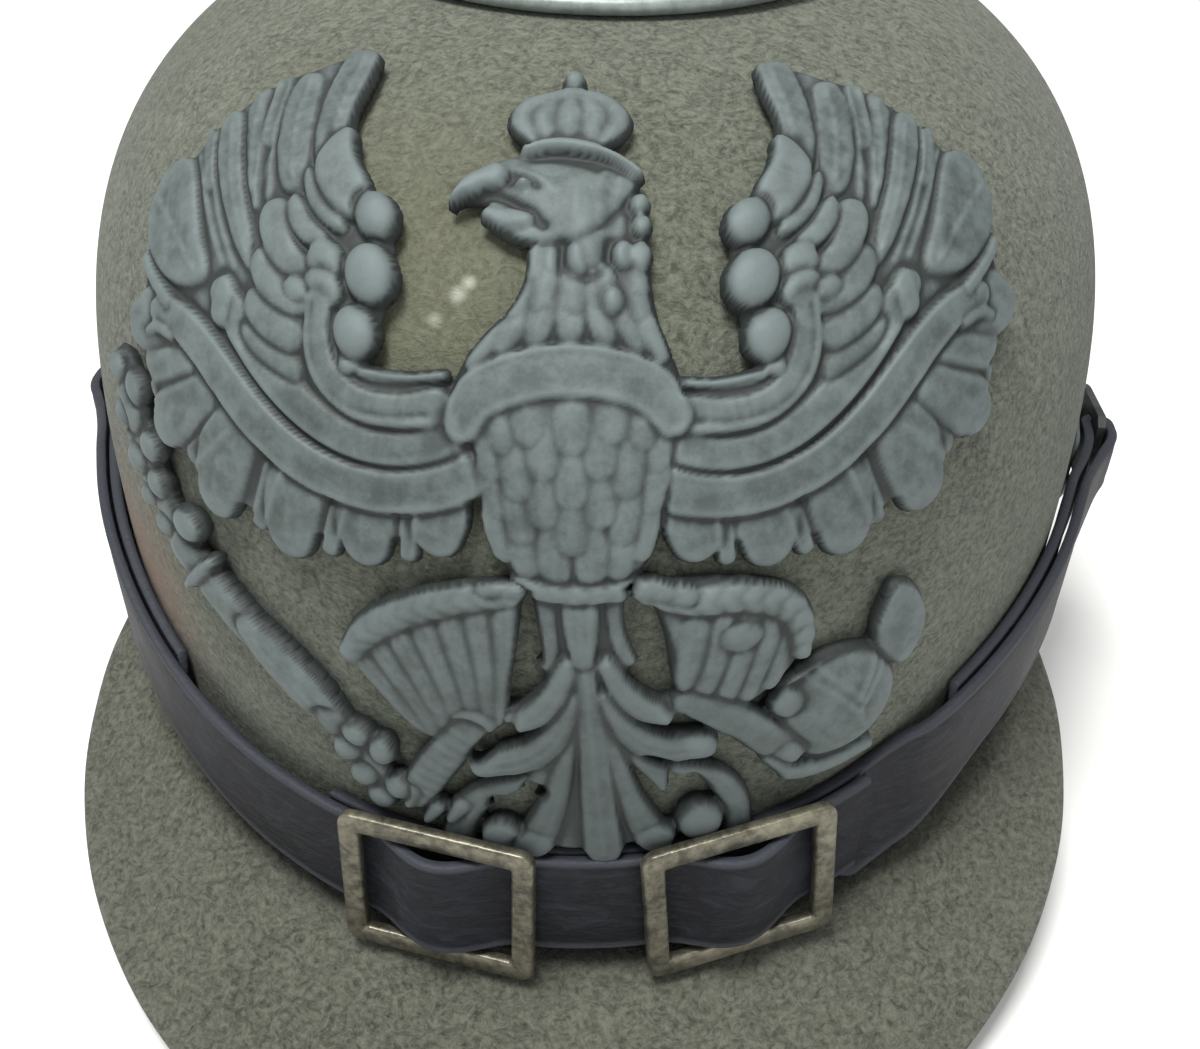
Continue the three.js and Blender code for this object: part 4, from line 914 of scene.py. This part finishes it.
def lay_wing(r, stretch, lift):
    def at(rows):
        return [(p * stretch, q + lift, *rest) for p, q, *rest in rows]

    r.slab(at(WING), 2.0)
    for one, other in SHAFTS:
        middle = [((a + c) / 2, (b + d) / 2, 3.0) for (a, b), (c, d) in zip(one[-2:], other[-2:])]
        r.limb(at(middle), 2.4, 1.9, flat=0.4, passes=0, groove=0.1)
    for p0, q0, p1, q1, p2, q2, width, top in LOBES:
        rows = at([(p0, q0, width * 0.8), (p1, q1, width * 1.02), (p2, q2, width * 0.84)])
        r.limb(rows, top, top - 0.75, flat=0.4, groove=0.3, passes=3)
        r.line([rows[1][:2], rows[2][:2]], 0.45, 0.16)
        for bend in (-0.28, 0.28):
            ends = [(p + bend * width, q) for p, q, _ in rows[1:]]
            r.line(ends, 0.5, -0.12)
    for outline, top, vein in UPPER:
        r.slab(at(outline), top, 1.3, top - 0.75, groove=0.25)
        r.barbs(at(vein), 3.4, 9, 0.1)
    for lines in SHAFTS:
        for rows in lines:
            r.line(at(rows), 0.4, 0.5)
    r.limb(at(BAND), 3.0, 2.3, flat=0.55, groove=0.25)
    r.limb(at([(44.6, 16.4, 3.4), (44, 19.4, 3.2)]), 3.3, 2.4, flat=0.3, groove=0.3)
    for outline, top in FINGERS:
        r.slab(at(outline), top, 1.7, top - 1.05, groove=0.35)
    r.comb(at([(24.6, 35), (27, 40.6)]), at([(30.6, 34.6), (31, 38.4)]), 6, 0.4, 0.1)
    for blob in ((29, 25.6, 2.8, 2.7, 4.2), (29.2, 22.4, 3.0, 2.5, 4.1), (32.8, 21.8, 1.9, 1.5, 3.7)):
        r.dome(*at([blob])[0], 2.6, groove=0.25)
    r.limb(at(ARM), 3.2, 2.8, flat=0.7, groove=0.4)
    for rows, width, height in ARM_LINES:
        r.line(at(rows), width, height)
    r.comb(at([(16.4, 12), (26, 12)]), at([(16.4, 9.4), (26.8, 9.8)]), 7, 0.3, 0.12)
    r.limb(at([(14, 14.4, 1.8), (19, 13.6, 1.6), (24, 13.9, 1.8)]), 3.2, 2.2, groove=0.2)
    r.limb(at(RIBBON), 3.2, 2.7, rim=0.3, flat=0.9, groove=0.8)
    for rows in RIBBON_TAILS:
        r.limb(at(rows), 3.3, 2.3, flat=0.2, groove=0.4, solid=False)
    r.limb(at([(24.8, 17, 5), (25.6, 14.4, 2.6)]), 3.6, 2.6, groove=0.2)
    for p, q, radius, top in at(SHOULDER):
        r.dome(p, q, radius, radius * 1.06, top, 1.9, groove=0.6)


HEAD = [
    (9.4, 37.5), (8.6, 40), (5, 42.2), (0, 43.6), (-4, 44), (-8, 43), (-10.4, 41), (-12.6, 39.4),
    (-13.6, 37.6), (-14.2, 35.4), (-11.5, 36.5), (-9.4, 36.3), (-10.1, 35), (-9.4, 33.2), (-7.4, 31.7),
    (-4.8, 30.8), (2, 30),
]
BODY = [
    (-4.5, 31), (-4.4, 27), (-6, 23.6), (-9, 20.8), (-12.5, 17), (-14, 13), (-12, 8), (-10, 4), (-9.8, -3),
    (-8.6, -8), (-4, -11.2), (0, -12), (4.5, -11.4), (8.8, -9), (11, -4), (12, 4), (12.5, 9), (14, 13),
    (12.3, 18), (11, 21), (10.2, 26), (10, 31), (9.2, 38), (4, 41),
]
CROWN = [
    (-4.5, 43), (-4.8, 45), (-7, 46.9), (-7.7, 49), (-7, 51.6), (-4.4, 54), (-0.8, 54.8), (-0.8, 56.4),
    (1, 58.4), (2.8, 56.6), (2.4, 54.8), (5, 54.4), (7.8, 51.6), (8.7, 48.4), (7.2, 45.6), (4.8, 44.4),
    (5, 41.5),
]
# Hem under the breast, arch band over it, and the lines down its sides
HEM = [(-10.6, -9.8, 3), (-7, -9.6, 3), (-2, -10.8, 2.8), (4, -11, 2.8), (9, -10.6, 3.4), (13.6, -12.6, 3)]
ARCH = [
    (-12.2, 10, 4.6), (-11, 12.9, 5.6), (-8, 14.6, 6), (-3.5, 15.9, 6.2), (1.5, 16.1, 6.2), (6.5, 15.1, 6),
    (10.6, 13, 5.6), (12.4, 9.8, 4.6),
]
FLANKS = [[(-13.4, 12), (-13, 7), (-11, 3.6), (-10.2, -4)], [(13.6, 12), (13.3, 7), (12, 3.4), (11.4, -4)]]
CHEEK = [
    [(0.4, 40.4), (1.6, 37), (1.2, 33.6)], [(4.6, 40.2), (4.2, 36.6), (4.4, 33)],
    [(6.8, 39), (6.4, 35.6), (6.8, 31.6)],
]
# Small curls at the back of the neck: p, q, radius
CURLS = [(6.9, 28.9, 1.4), (9, 28.7, 1.5), (9.2, 32.6, 1.3), (9, 35.4, 1.3), (5.6, 23.6, 1.2)]
# Neck and breast feathers: p, q, turn, width, length
PLUMES = [
    (-8.2, -5, 8, 4.2, 7), (8.4, -5.4, -8, 4.2, 7), (-5.2, -7.4, 6, 4.4, 7), (5.4, -7.8, -6, 4.4, 7),
    (-1.9, -8.8, 2, 4.6, 7), (2.2, -8.9, -2, 4.6, 7), (-8.4, 0.6, 8, 4.2, 7), (9.6, 0.4, -8, 4.2, 7),
    (-5.6, -2.4, 5, 4.4, 7), (6.2, -2.8, -5, 4.4, 7), (0.2, -3.6, 0, 5, 7), (-3, -0.2, 3, 4.8, 7),
    (3.6, -0.4, -3, 4.8, 7), (-8.8, 5.2, 8, 4.2, 7), (10.4, 5.4, -8, 4.2, 7), (-5.8, 3, 4, 4.6, 7),
    (6.8, 2.8, -4, 4.6, 7), (0.4, 2.2, 0, 5, 7), (-2.8, 5.6, 2, 4.8, 7), (3.8, 5.4, -2, 4.8, 7),
    (-7.6, 8.4, 8, 4.4, 6), (8.8, 8.2, -8, 4.4, 6), (0.6, 8.4, 0, 5, 6), (-4.4, 9.4, 4, 4.6, 5),
    (5.2, 9.2, -4, 4.6, 5), (-10.6, 17, -38, 3.4, 6), (-7.2, 18.4, -26, 3.6, 7), (-3.4, 19.2, -14, 3.8, 7),
    (0.6, 19.6, -3, 4, 7), (4.6, 19.2, 8, 3.8, 7), (8.4, 18.2, 18, 3.6, 7), (11, 17, 22, 3, 6),
    (-6, 23, -22, 3, 6), (-2.8, 23.8, -12, 3.2, 6), (1, 23.4, 0, 3.4, 6), (8.8, 22.2, 16, 3.2, 5.6),
    (5.4, 22.8, 8, 2.8, 4.6), (-4, 27.4, -10, 2.8, 6), (-1.6, 28, -4, 2.6, 5), (8.9, 25, 20, 2.9, 4),
]
THIGH_LEFT = [
    (-5, -9), (-11, -9), (-18.8, -11.8), (-27, -16.8), (-31.6, -21.8), (-30.6, -26), (-21, -36.2),
    (-15, -37.8), (-11.8, -35.6), (-9.4, -31), (-8.6, -24), (-7.2, -18), (-6.4, -12),
]
THIGH_RIGHT = [
    (8, -10), (13, -10.6), (20, -11.4), (26, -13.8), (29.8, -18), (30, -23), (28, -28), (23, -32),
    (20, -34), (14, -31), (11.4, -27), (11, -18),
]
# Feathered roll over the top of each leg, as seen left and right
HIPS = [
    [(-7.4, -10.8, 3.6), (-14, -11.8, 4.4), (-21, -14.4, 4.8), (-27, -18.4, 4.8), (-30, -22.8, 3.6)],
    [(9, -11.4, 4.4), (15, -14, 4.2), (19.6, -13.8, 4.6), (26, -16, 4.8), (28.6, -20.6, 4.2), (28.4, -25, 3)],
]
TOES = [
    [(-24.4, -47, 3.2), (-25.4, -50, 2.2)], [(-21, -49.6, 3), (-22.8, -52.4, 2.2)],
    [(-17.6, -48.4, 3), (-19.4, -51.4, 2)],
]
ORB = [
    (25, -31), (29, -28.5), (33, -27.3), (38, -28.2), (42, -31), (44, -36), (43.5, -42), (41.4, -46.6),
    (36, -49), (29, -47), (26, -42), (25, -37),
]
ORB_LINES = [
    [(29.4, -30.4), (33, -34.4), (36.4, -39)], [(31, -29.4), (34.6, -33.6), (37.2, -37.4)],
    [(41.6, -30.6), (39.4, -34.6), (36.4, -39)], [(40, -29.6), (38, -33.6), (36.6, -36.6)],
    [(26.4, -31), (33, -27.9), (38, -28.6), (42.4, -31.4)], [(36.8, -39), (37.4, -42), (38.4, -44.4)],
]
ORB_CROSS = [
    (38.5, -28), (41.2, -20.6), (44, -20), (46.6, -23), (48.5, -27.5), (47.5, -33), (44.4, -36.5), (41, -33),
]
TAIL = [
    (-5, -10), (5.7, -10), (6.4, -15), (7.7, -22), (5.6, -24), (3.9, -28), (4, -34), (5.4, -42), (8, -49),
    (11, -57.4), (-11, -57.4), (-8, -49), (-4.8, -42), (-3, -36), (-2.6, -32), (-3.4, -26), (-5.3, -22.3),
]
TAIL_BANDS = [
    [(-3.5, -10, 3.2), (-3.6, -16, 3.2), (-3.9, -21.4, 3)],
    [(4.6, -10, 3.2), (5.4, -16, 3.2), (6.2, -21.2, 3.2)],
]
# Scrolled leaves of the tail, the lowest layer first: rows of (p, q, width) and the top
LEAVES = [
    ([(-8, -42.6, 2.6), (-13.2, -45, 4.4), (-17.4, -49.6, 5), (-19.2, -56.4, 5)], 2.8),
    ([(11.6, -41.8, 2.6), (16.6, -44.4, 4.2), (19.6, -50, 4.6), (20, -56.4, 4.6)], 2.8),
    ([(-2.6, -34.6, 2.6), (-4.8, -39, 4), (-6.6, -42.4, 4), (-7, -45.4, 2)], 2.9),
    ([(3.8, -33.6, 2.6), (6.4, -38, 4.2), (8.8, -41.6, 4.2), (9.6, -45, 2)], 2.9),
    ([(-1.2, -30, 2), (-2.7, -38, 3.2), (-4.6, -46, 4), (-6.8, -52, 5.2), (-8.4, -56, 5.6)], 3.2),
    ([(2.6, -30, 2), (3.7, -38, 3.2), (4.9, -46, 4), (6.8, -52, 5.2), (8.2, -56, 5.6)], 3.2),
    ([(-1.2, -26.6, 2.6), (-3.4, -33.4, 4.4), (-7.6, -38, 5.8), (-13.4, -39.4, 5)], 3.8),
    ([(3.2, -26.8, 2.6), (5.2, -33.2, 4.4), (9.6, -37.6, 5.6), (15, -37.8, 4.8)], 3.8),
    ([(-1.2, -21.6, 2.6), (-3.4, -26.6, 4.2), (-6, -30, 4.8), (-8.4, -30.8, 4)], 4.0),
    ([(3.4, -21.8, 2.6), (5.4, -26.8, 4.2), (8, -30, 4.6), (10.6, -30.8, 3.8)], 4.0),
]
# Small balls and knobs: p, q, half width, half height, top
KNOBS = [
    (-12.4, -54, 3.2, 3.4, 4.2), (14.4, -53, 3.4, 3.8, 4.4), (8.4, -55, 3.0, 2.6, 4.0),
    (-8.4, -55, 3.0, 2.6, 4.0),
]
BEADS = [
    (-69, 0, 4.2, 5, 3.2), (-71.6, 3.4, 2.2, 2.2, 3.6), (-66.6, 2.4, 2.6, 2.6, 3.4), (-71, -2.6, 2, 2, 3.4),
    (-63.4, -4.4, 2.6, 2.4, 3.6), (-67.6, -7.6, 2.6, 2.2, 3.6), (-63, -9.6, 2.4, 2.2, 3.4),
    (-66, -12.6, 2.2, 1.8, 3.2), (-56.6, -13, 3.2, 2.8, 3.8), (-62.4, -15.4, 2.2, 1.8, 3.4),
    (-31.4, -38.4, 2.6, 2.2, 4.0), (-28, -40.4, 2.2, 2.8, 4.0), (-33.6, -41.8, 2.4, 2.4, 3.8),
    (-31.6, -46, 2.4, 2.6, 3.8), (-29.4, -50, 2.4, 2.4, 3.6), (-26.6, -47, 2.0, 2.6, 3.8),
]
# Sceptre from the head down: strips of (p, q, width) with their tops
SCEPTRE = [
    ([(-71, 4, 5), (-68.5, -3, 8), (-65, -9, 7), (-61.5, -14.4, 5.6), (-57, -19, 6)], 2.8),
    ([(-59, -17.6, 6), (-54, -20.8, 7), (-47, -26.4, 7)], 3.2),
    ([(-58, -22.8, 2.2), (-52.2, -16.8, 2.2)], 3.8),
    ([(-46.6, -25.6, 5.6), (-43, -29, 8.0), (-38, -33.4, 8.0), (-34.4, -37.4, 5)], 3.6),
    ([(-35.5, -37, 5.6), (-31.6, -41.6, 6.4), (-29.6, -48.6, 6)], 2.8),
]
HOLES = [
    [(-5.9, -12.2), (-4.9, -12.4), (-4.6, -17), (-4.3, -21.4), (-5.4, -21.6), (-5.9, -17)],
    [(5.9, -12.6), (6.9, -12.8), (8.4, -16.4), (10, -20.6), (10.8, -27), (9.6, -26.6), (7.6, -22), (6, -17)],
    [(-8.2, -32.4), (-9.6, -31.2), (-10.6, -32.6), (-13.4, -35), (-15.6, -38.4), (-14.6, -39.6),
     (-11, -35.4)],
    [(-9.2, -43.6), (-7.4, -42.4), (-5.2, -44.6), (-7.4, -46.8)],
    [(-13.4, -46), (-11.2, -45.6), (-10.4, -48.4), (-14, -48.6)],
    [(11, -31.6), (12.2, -31.4), (13.4, -32.8), (11.6, -33.4)],
    [(7, -38.4), (8, -37.8), (11.4, -40.2), (10.4, -41)],
    [(12.6, -43.4), (14, -43), (16.4, -47.6), (15, -49)],
    [(17.4, -37), (18.8, -37.4), (23.6, -44.6), (26.4, -49.4), (24.4, -50), (20, -44)],
    [(-62.6, 2.8), (-61, 2.6), (-60.6, 1.2), (-62.4, 1.2)],
]


def lay_tail(r):
    r.slab(TAIL, 2.0)
    for rows in TAIL_BANDS:
        r.limb(rows, 2.6, 2.2, flat=0.7, ribs=0.06, pitch=0.9, groove=0.2)
    for rows, top in LEAVES:
        r.limb(rows, top, top - 1.5, flat=0.1, veins=(-0.3, 0.3), vein=0.16, groove=0.35)
    for p, q, half_width, half_height, top in KNOBS:
        r.dome(p, q, half_width, half_height, top, top - 1.4, groove=0.2)
    r.limb([(0.7, -20, 3.2), (0.8, -30, 3.2), (1, -42, 4.2), (1.2, -57, 5.6)], 3.5, 2.6, flat=0.1, groove=0.3)
    for start, end in ((-0.8, -1.2), (0.8, 1.2), (2.2, 3.4)):
        r.line([(start, -21), (start * 0.7 + end * 0.3, -36), (end, -57)], 0.4, 0.4)
    stem = [(0.6, -9, 5.2), (0.6, -16, 4.8), (0.6, -20.6, 3.2)]
    r.limb(stem, 3.4, 2.6, flat=0.35, veins=(-0.5, 0.05, 0.6), groove=0.3)
    for p, q in ((-13.6, -39.6), (15.2, -38), (-8.8, -31), (11, -31)):
        r.swell(p, q, 3, 2.6, 0.7)


def lay_legs(r):
    r.slab(ORB, 1.9)
    r.dome(34.5, -38, 8.6, 9.4, 4.2, 2.0, groove=0.2)
    r.dome(26.6, -34, 2.6, 2.6, 3.6, 2.2, groove=0.4)
    for rows in ORB_LINES:
        r.line(rows, 0.42, 0.4)
    r.slab(ORB_CROSS, 2.8, 1.4)
    r.line([(39, -27.5), (40.2, -24), (41.5, -20.9)], 0.5, 0.8)
    r.slab(THIGH_LEFT, 2.7, 2.2)
    r.slab(THIGH_RIGHT, 2.7, 2.2)
    for step, top in enumerate((3.0, 3.2, 3.4, 3.5, 3.4, 3.3, 3.1)):
        share = step / 6
        p, q = -29 + 20.4 * share, -22.4 + 10 * share
        low_p, low_q = -20.6 + 10.6 * share, -35.8 + 4.6 * share
        bend = (p * 0.45 + low_p * 0.55 + 0.6, q * 0.45 + low_q * 0.55, 3.8)
        rows = [(p, q, 4.0), bend, (low_p, low_q, 3.0)]
        r.limb(rows, top, top - 0.5, flat=0.3, veins=(-0.3, 0.3), vein=0.2, groove=0.15, solid=False)
    for step, top in enumerate((3.1, 3.3, 3.5, 3.4, 3.2)):
        p = 27.6 - step * 3.2
        rows = [(p, -17, 3.8), (p - 1, -22 - step * 0.4, 3.8), (p - 3.4, -29 - (2 - abs(step - 2)), 2.8)]
        r.limb(rows, top, top - 0.55, flat=0.3, veins=(-0.25, 0.3), vein=0.2, groove=0.15, solid=False)
    r.dome(-14.2, -32, 3.0, 2.8, 4.2, 2.6, groove=0.3, solid=False)
    r.dome(20.2, -20, 2.9, 2.4, 4.0, 2.8, groove=0.3, solid=False)
    r.limb(HIPS[0], 3.8, 2.6, ribs=0.2, pitch=2.6, slant=0.8)
    r.limb(HIPS[1], 4.2, 2.5, ribs=0.4, pitch=2.8, slant=-0.7)
    shank = [(-15, -33.6, 5.4), (-19, -39, 6), (-22, -44, 6), (-24.4, -48.6, 5)]
    r.limb(shank, 3.4, 1.7, flat=0.2, ribs=0.2, pitch=2.0)
    r.limb([(13, -29.6, 4.4), (18, -33, 6), (23, -38.6, 6.2), (27, -44, 5.6)], 3.4, 1.7, flat=0.2)
    r.dome(26.6, -43.8, 2.3, 2.6, 3.8, 2.6, groove=0.3)
    r.limb([(23.6, -44.6, 3.4), (27, -48.2, 3.8), (33, -49, 3.6), (39, -48.2, 3)], 3.4, 1.7, flat=0.2)
    for rows in TOES:
        r.limb(rows, 3.4, 1.7, groove=0.4)
    for rows, top in SCEPTRE:
        r.limb(rows, top, 1.8, flat=0.25, groove=0.4)
    r.line([(-52, -19.2), (-45, -24.2)], 0.5, 0.4)
    r.line([(-45, -27), (-40, -31.6), (-35.4, -36.6)], 0.5, 0.3)
    for bead in BEADS:
        r.dome(*bead, groove=0.35)


def lay_body(r):
    r.slab(BODY, 2.6, 2.2)
    for p, q, turn, width, length in PLUMES:
        lean = rad(turn)
        rows = [(p - math.sin(lean) * length * k, q + math.cos(lean) * length * k, width * w)
                for k, w in ((1, 0.7), (0.5, 1), (0, 0.8))]
        r.limb(rows, 3.2, 2.75, flat=0.2, veins=(0,), vein=0.14, groove=0.16, passes=1, solid=q < -4)
    r.limb(HEM, 4.0, 2.6, ribs=0.3, pitch=2.6, slant=0.8, solid=False)
    r.limb(ARCH, 3.2, 3.0, rim=0.35, flat=0.92, groove=0.6)
    for rows in FLANKS:
        r.line(rows, 0.5, 0.35)
    r.slab(CROWN, 2.6, 1.6, 1.5)
    r.swell(0.5, 49.6, 8.4, 5, 0.5)
    for p in (-5.6, -3, 0.4, 3.8, 6.6):
        r.line([(p * 0.75 + 0.1, 45.6), (p * 1.1, 50), (p * 0.45 + 0.4, 54.2)], 0.8, 0.22)
    for p in (-4.4, -1.4, 2, 5.2):
        r.line([(p * 0.8 + 0.1, 46.4), (p * 1.05, 49.6), (p * 0.6 + 0.3, 52.4)], 0.6, -0.24)
    r.dome(1, 56.8, 1.6, 1.6, 3.4, 1.6)
    r.slab(HEAD, 3.0, 1.8, 1.7, groove=0.4)
    r.swell(-1, 37, 9, 6.4, 0.7)
    brow = [(-4.8, 43.4, 1.6), (-1, 44.4, 2.0), (3, 43.6, 2.0), (6.4, 41.8, 1.8), (9, 39.4, 1.4)]
    r.limb(brow, 4.6, 3.2, flat=0.3, groove=0.5)
    r.line([(-3.4, 42.6), (0, 42.2), (4, 40.6)], 0.9, -0.5)
    r.swell(2, 34.6, 4.6, 6.4, 0.7)
    r.swell(2.4, 30.4, 3.4, 4.6, 0.8)
    r.line([(-0.3, 30.6), (-0.2, 27.6), (2.4, 25.9), (5, 27.4), (5.2, 30.4)], 0.7, -0.8)
    for rows in CHEEK:
        r.line(rows, 0.5, 0.16)
    r.limb([(-8.2, 39.6, 3.4), (-10.8, 38.6, 3.2), (-12.8, 37, 2.0), (-14, 35.6, 0.8)], 4.6, 2.6, groove=0.3)
    r.limb([(-4.6, 34, 2.6), (-7, 33.8, 2.8), (-9.2, 34.4, 2.2)], 4.0, 2.6, flat=0.2, groove=0.3)
    r.line([(-9.6, 37.2), (-7, 36.6), (-4, 34.6), (-2.4, 33)], 0.7, -1.0)
    r.line([(-9.4, 35.8), (-6, 35.2), (-3, 33.6)], 0.4, 0.45)
    r.line([(-9.4, 41), (-6.4, 41), (-3, 39.4), (-1.6, 37.6)], 0.6, 0.45)
    r.line([(-7, 39), (-4.6, 39.4), (-3, 38)], 0.5, -0.35)
    r.dome(-4.9, 38.4, 0.9, 0.7, 5.0, 4.2, groove=0.25, solid=False)
    for p, q, radius in CURLS:
        r.dome(p, q, radius, radius * 1.3, 4.1, 3.2, groove=0.35)
    r.swell(1.2, 2, 15, 20, 1.3)
    r.swell(2.2, 27, 11, 18, 1.1)


def draw_eagle():
    """The whole plate, drawn on the flat grid."""
    r = Relief(RELIEF_LOW, RELIEF_HIGH, GRID_STEP)
    for stretch, lift in WING_SIDES:
        lay_wing(r, stretch, lift)
    for p in (-44, 42):
        r.swell(p, 8, 34, 26, 0.9)
    lay_tail(r)
    lay_legs(r)
    lay_body(r)
    for hole in HOLES:
        r.slab(hole, 0, hole=True)
    return r


def stamp(r, inside):
    """Height of the stamped sheet, and masks of how high and how deep each place is, for painted highlight
    and painted shade.
    """
    height = r.height.copy()
    for axis, shift in ((0, 1), (0, -1), (1, 1), (1, -1)):
        height = np.where(height > 0.2, height, np.roll(height, shift, axis))
    height = np.maximum(height, SHEET_HEIGHT)
    weight = box_blur(inside.astype(float), 1, 1)
    soft = box_blur(np.where(inside, height, 0), 1, 1) / np.maximum(weight, 0.05)
    height = height * (1 - SOFT_SHARE) + soft * SOFT_SHARE
    height = SHEET_HEIGHT + (height - SHEET_HEIGHT) * RELIEF_SHARE
    depth = np.clip(-r.outline, 0, None)
    height = height * (1 - EDGE_DROP * np.exp(-((depth / EDGE_WIDTH) ** 2))) + SHEET_LIFT
    filled = np.where(inside, height, height[inside].mean())
    mean, wide = box_blur(filled, 4), box_blur(filled, 12)
    high = np.clip((filled - mean) / HIGH_FULL, 0, 1) + np.clip((filled - wide - 0.2) / 1.6, 0, 0.5)
    return height, high, np.clip((mean - filled) / DEEP_FULL, 0, 1)


def build_eagle():
    """Lays the grid inside the plate's outline on the crown, with a rim down to the felt."""
    r = draw_eagle()
    d = r.outline
    down, across = np.gradient(d, GRID_STEP)
    size = np.maximum(np.hypot(down, across), 0.3)
    near = np.abs(d) < GRID_STEP * 0.62
    move = np.where(near, d / size, 0)
    p, q = r.p - move * across / size, r.q - move * down / size
    inside = (d <= 0) | near
    keep = inside[:-1, :-1] & inside[1:, :-1] & inside[:-1, 1:] & inside[1:, 1:]
    height, high, deep_shade = stamp(r, inside)
    rows, columns = d.shape
    index = np.arange(rows * columns).reshape(rows, columns)
    cells = np.argwhere(keep)
    a = index[cells[:, 0], cells[:, 1]]
    quads = np.stack([a, a + 1, a + columns + 1, a + columns], 1)
    edges = np.concatenate([quads[:, [k, (k + 1) % 4]] for k in range(4)])
    keys = edges[:, 0] * rows * columns + edges[:, 1]
    back = edges[:, 1] * rows * columns + edges[:, 0]
    border = edges[~np.isin(keys, back)]
    used = np.unique(quads)
    rim = np.unique(border)
    number = np.full(rows * columns, -1)
    number[used] = np.arange(len(used))
    foot = np.full(rows * columns, -1)
    foot[rim] = len(used) + np.arange(len(rim))
    flat = [field.ravel() for field in (p, q, height, across / size, down / size)]
    top = on_crown(flat[0][used], flat[1][used], flat[2][used])
    inner = [flat[0][rim] - FOOT_IN * flat[3][rim], flat[1][rim] - FOOT_IN * flat[4][rim]]
    low = on_crown(inner[0], inner[1], np.zeros(len(rim)))
    faces = number[quads].tolist()
    faces += [(number[b], number[a], foot[a], foot[b]) for a, b in border]
    points = np.concatenate([top, low])
    piece = add_mesh("eagle_relief", points, faces, ZINC, node="eagle_plate", slot="zinc_plate")
    # Masks for painted highlight and painted shade; the rim's foot gets full painted shade, a painted shadow
    # under the plate's edge
    for name, field, under in (("high", high, 0.0), ("deep_shade", deep_shade, 1.0)):
        values = np.concatenate([field.ravel()[used], np.full(len(rim), under)]).astype(np.float32)
        piece.data.attributes.new(name, "FLOAT", "POINT").data.foreach_set("value", values)


build_eagle()


# Floor, light and camera
def build_stage():
    m = Nodes("pale_floor", 0.9, specular=0.2)
    m.done(m.mix((0.86, 0.86, 0.85), (0.83, 0.83, 0.82), m.noise(3, 2)))
    size, level = 6000, -0.05
    points = [(-size, -size, level), (size, -size, level), (size, size, level), (-size, size, level)]
    floor = add_mesh("floor", points, [(0, 1, 2, 3)], m.material, smooth=False)
    world = bpy.data.worlds.new("soft_room")
    bpy.context.scene.world = world
    world.use_nodes = True
    background = world.node_tree.nodes["Background"]
    background.inputs["Color"].default_value = (1, 1, 1, 1)
    background.inputs["Strength"].default_value = 0.62


LIT_POINT = Vector((0, 0, 0.08))
# Lights: name, place in metres, size in metres, watts, colour
LIGHTS = [
    ("key_above", (-0.15, -0.3, 1.1), 0.4, 16.0, (1.0, 0.99, 0.97)),
    ("fill_front", (0.5, -1.1, 0.45), 0.8, 3.0, (0.97, 0.99, 1.0)),
]


def build_lights():
    for name, place, size, watts, colour in LIGHTS:
        data = bpy.data.lights.new(name, "AREA")
        data.shape = "SQUARE"
        data.size = size
        data.energy = watts
        data.color = colour
        lamp = bpy.data.objects.new(name, data)
        bpy.context.scene.collection.objects.link(lamp)
        lamp.location = place
        lamp.rotation_euler = (LIT_POINT - Vector(place)).to_track_quat("-Z", "Y").to_euler()


# Camera fitted to the photo: degrees, metres, and the focal length in pixels of the photo's width
CAMERA_AZIMUTH, CAMERA_ELEVATION, CAMERA_ROLL = 3.45, 34.96, 1.26
CAMERA_PLACE = (0.0169, -0.25765, 0.21521)
FOCAL_PIXELS, PHOTO_WIDTH, SENSOR_WIDTH = 1616, 1200, 36


def build_camera():
    azimuth, elevation, roll = rad(CAMERA_AZIMUTH), rad(CAMERA_ELEVATION), rad(CAMERA_ROLL)
    level = math.cos(elevation)
    back = Vector((math.sin(azimuth) * level, -math.cos(azimuth) * level, math.sin(elevation)))
    right = (-back).cross(Vector((0, 0, 1))).normalized()
    up = right.cross(-back)
    across = right * math.cos(roll) + up * math.sin(roll)
    upward = up * math.cos(roll) - right * math.sin(roll)
    data = bpy.data.cameras.new("camera")
    data.sensor_width = SENSOR_WIDTH
    data.lens = SENSOR_WIDTH * FOCAL_PIXELS / PHOTO_WIDTH
    data.clip_start = 0.01
    camera = bpy.data.objects.new("camera", data)
    bpy.context.scene.collection.objects.link(camera)
    place = Matrix((across, upward, back)).transposed().to_4x4()
    place.translation = Vector(CAMERA_PLACE)
    camera.matrix_world = place
    bpy.context.scene.camera = camera


build_stage()
build_lights()
build_camera()
scene = bpy.context.scene
scene.view_settings.view_transform = "Standard"
scene.view_settings.look = "None"
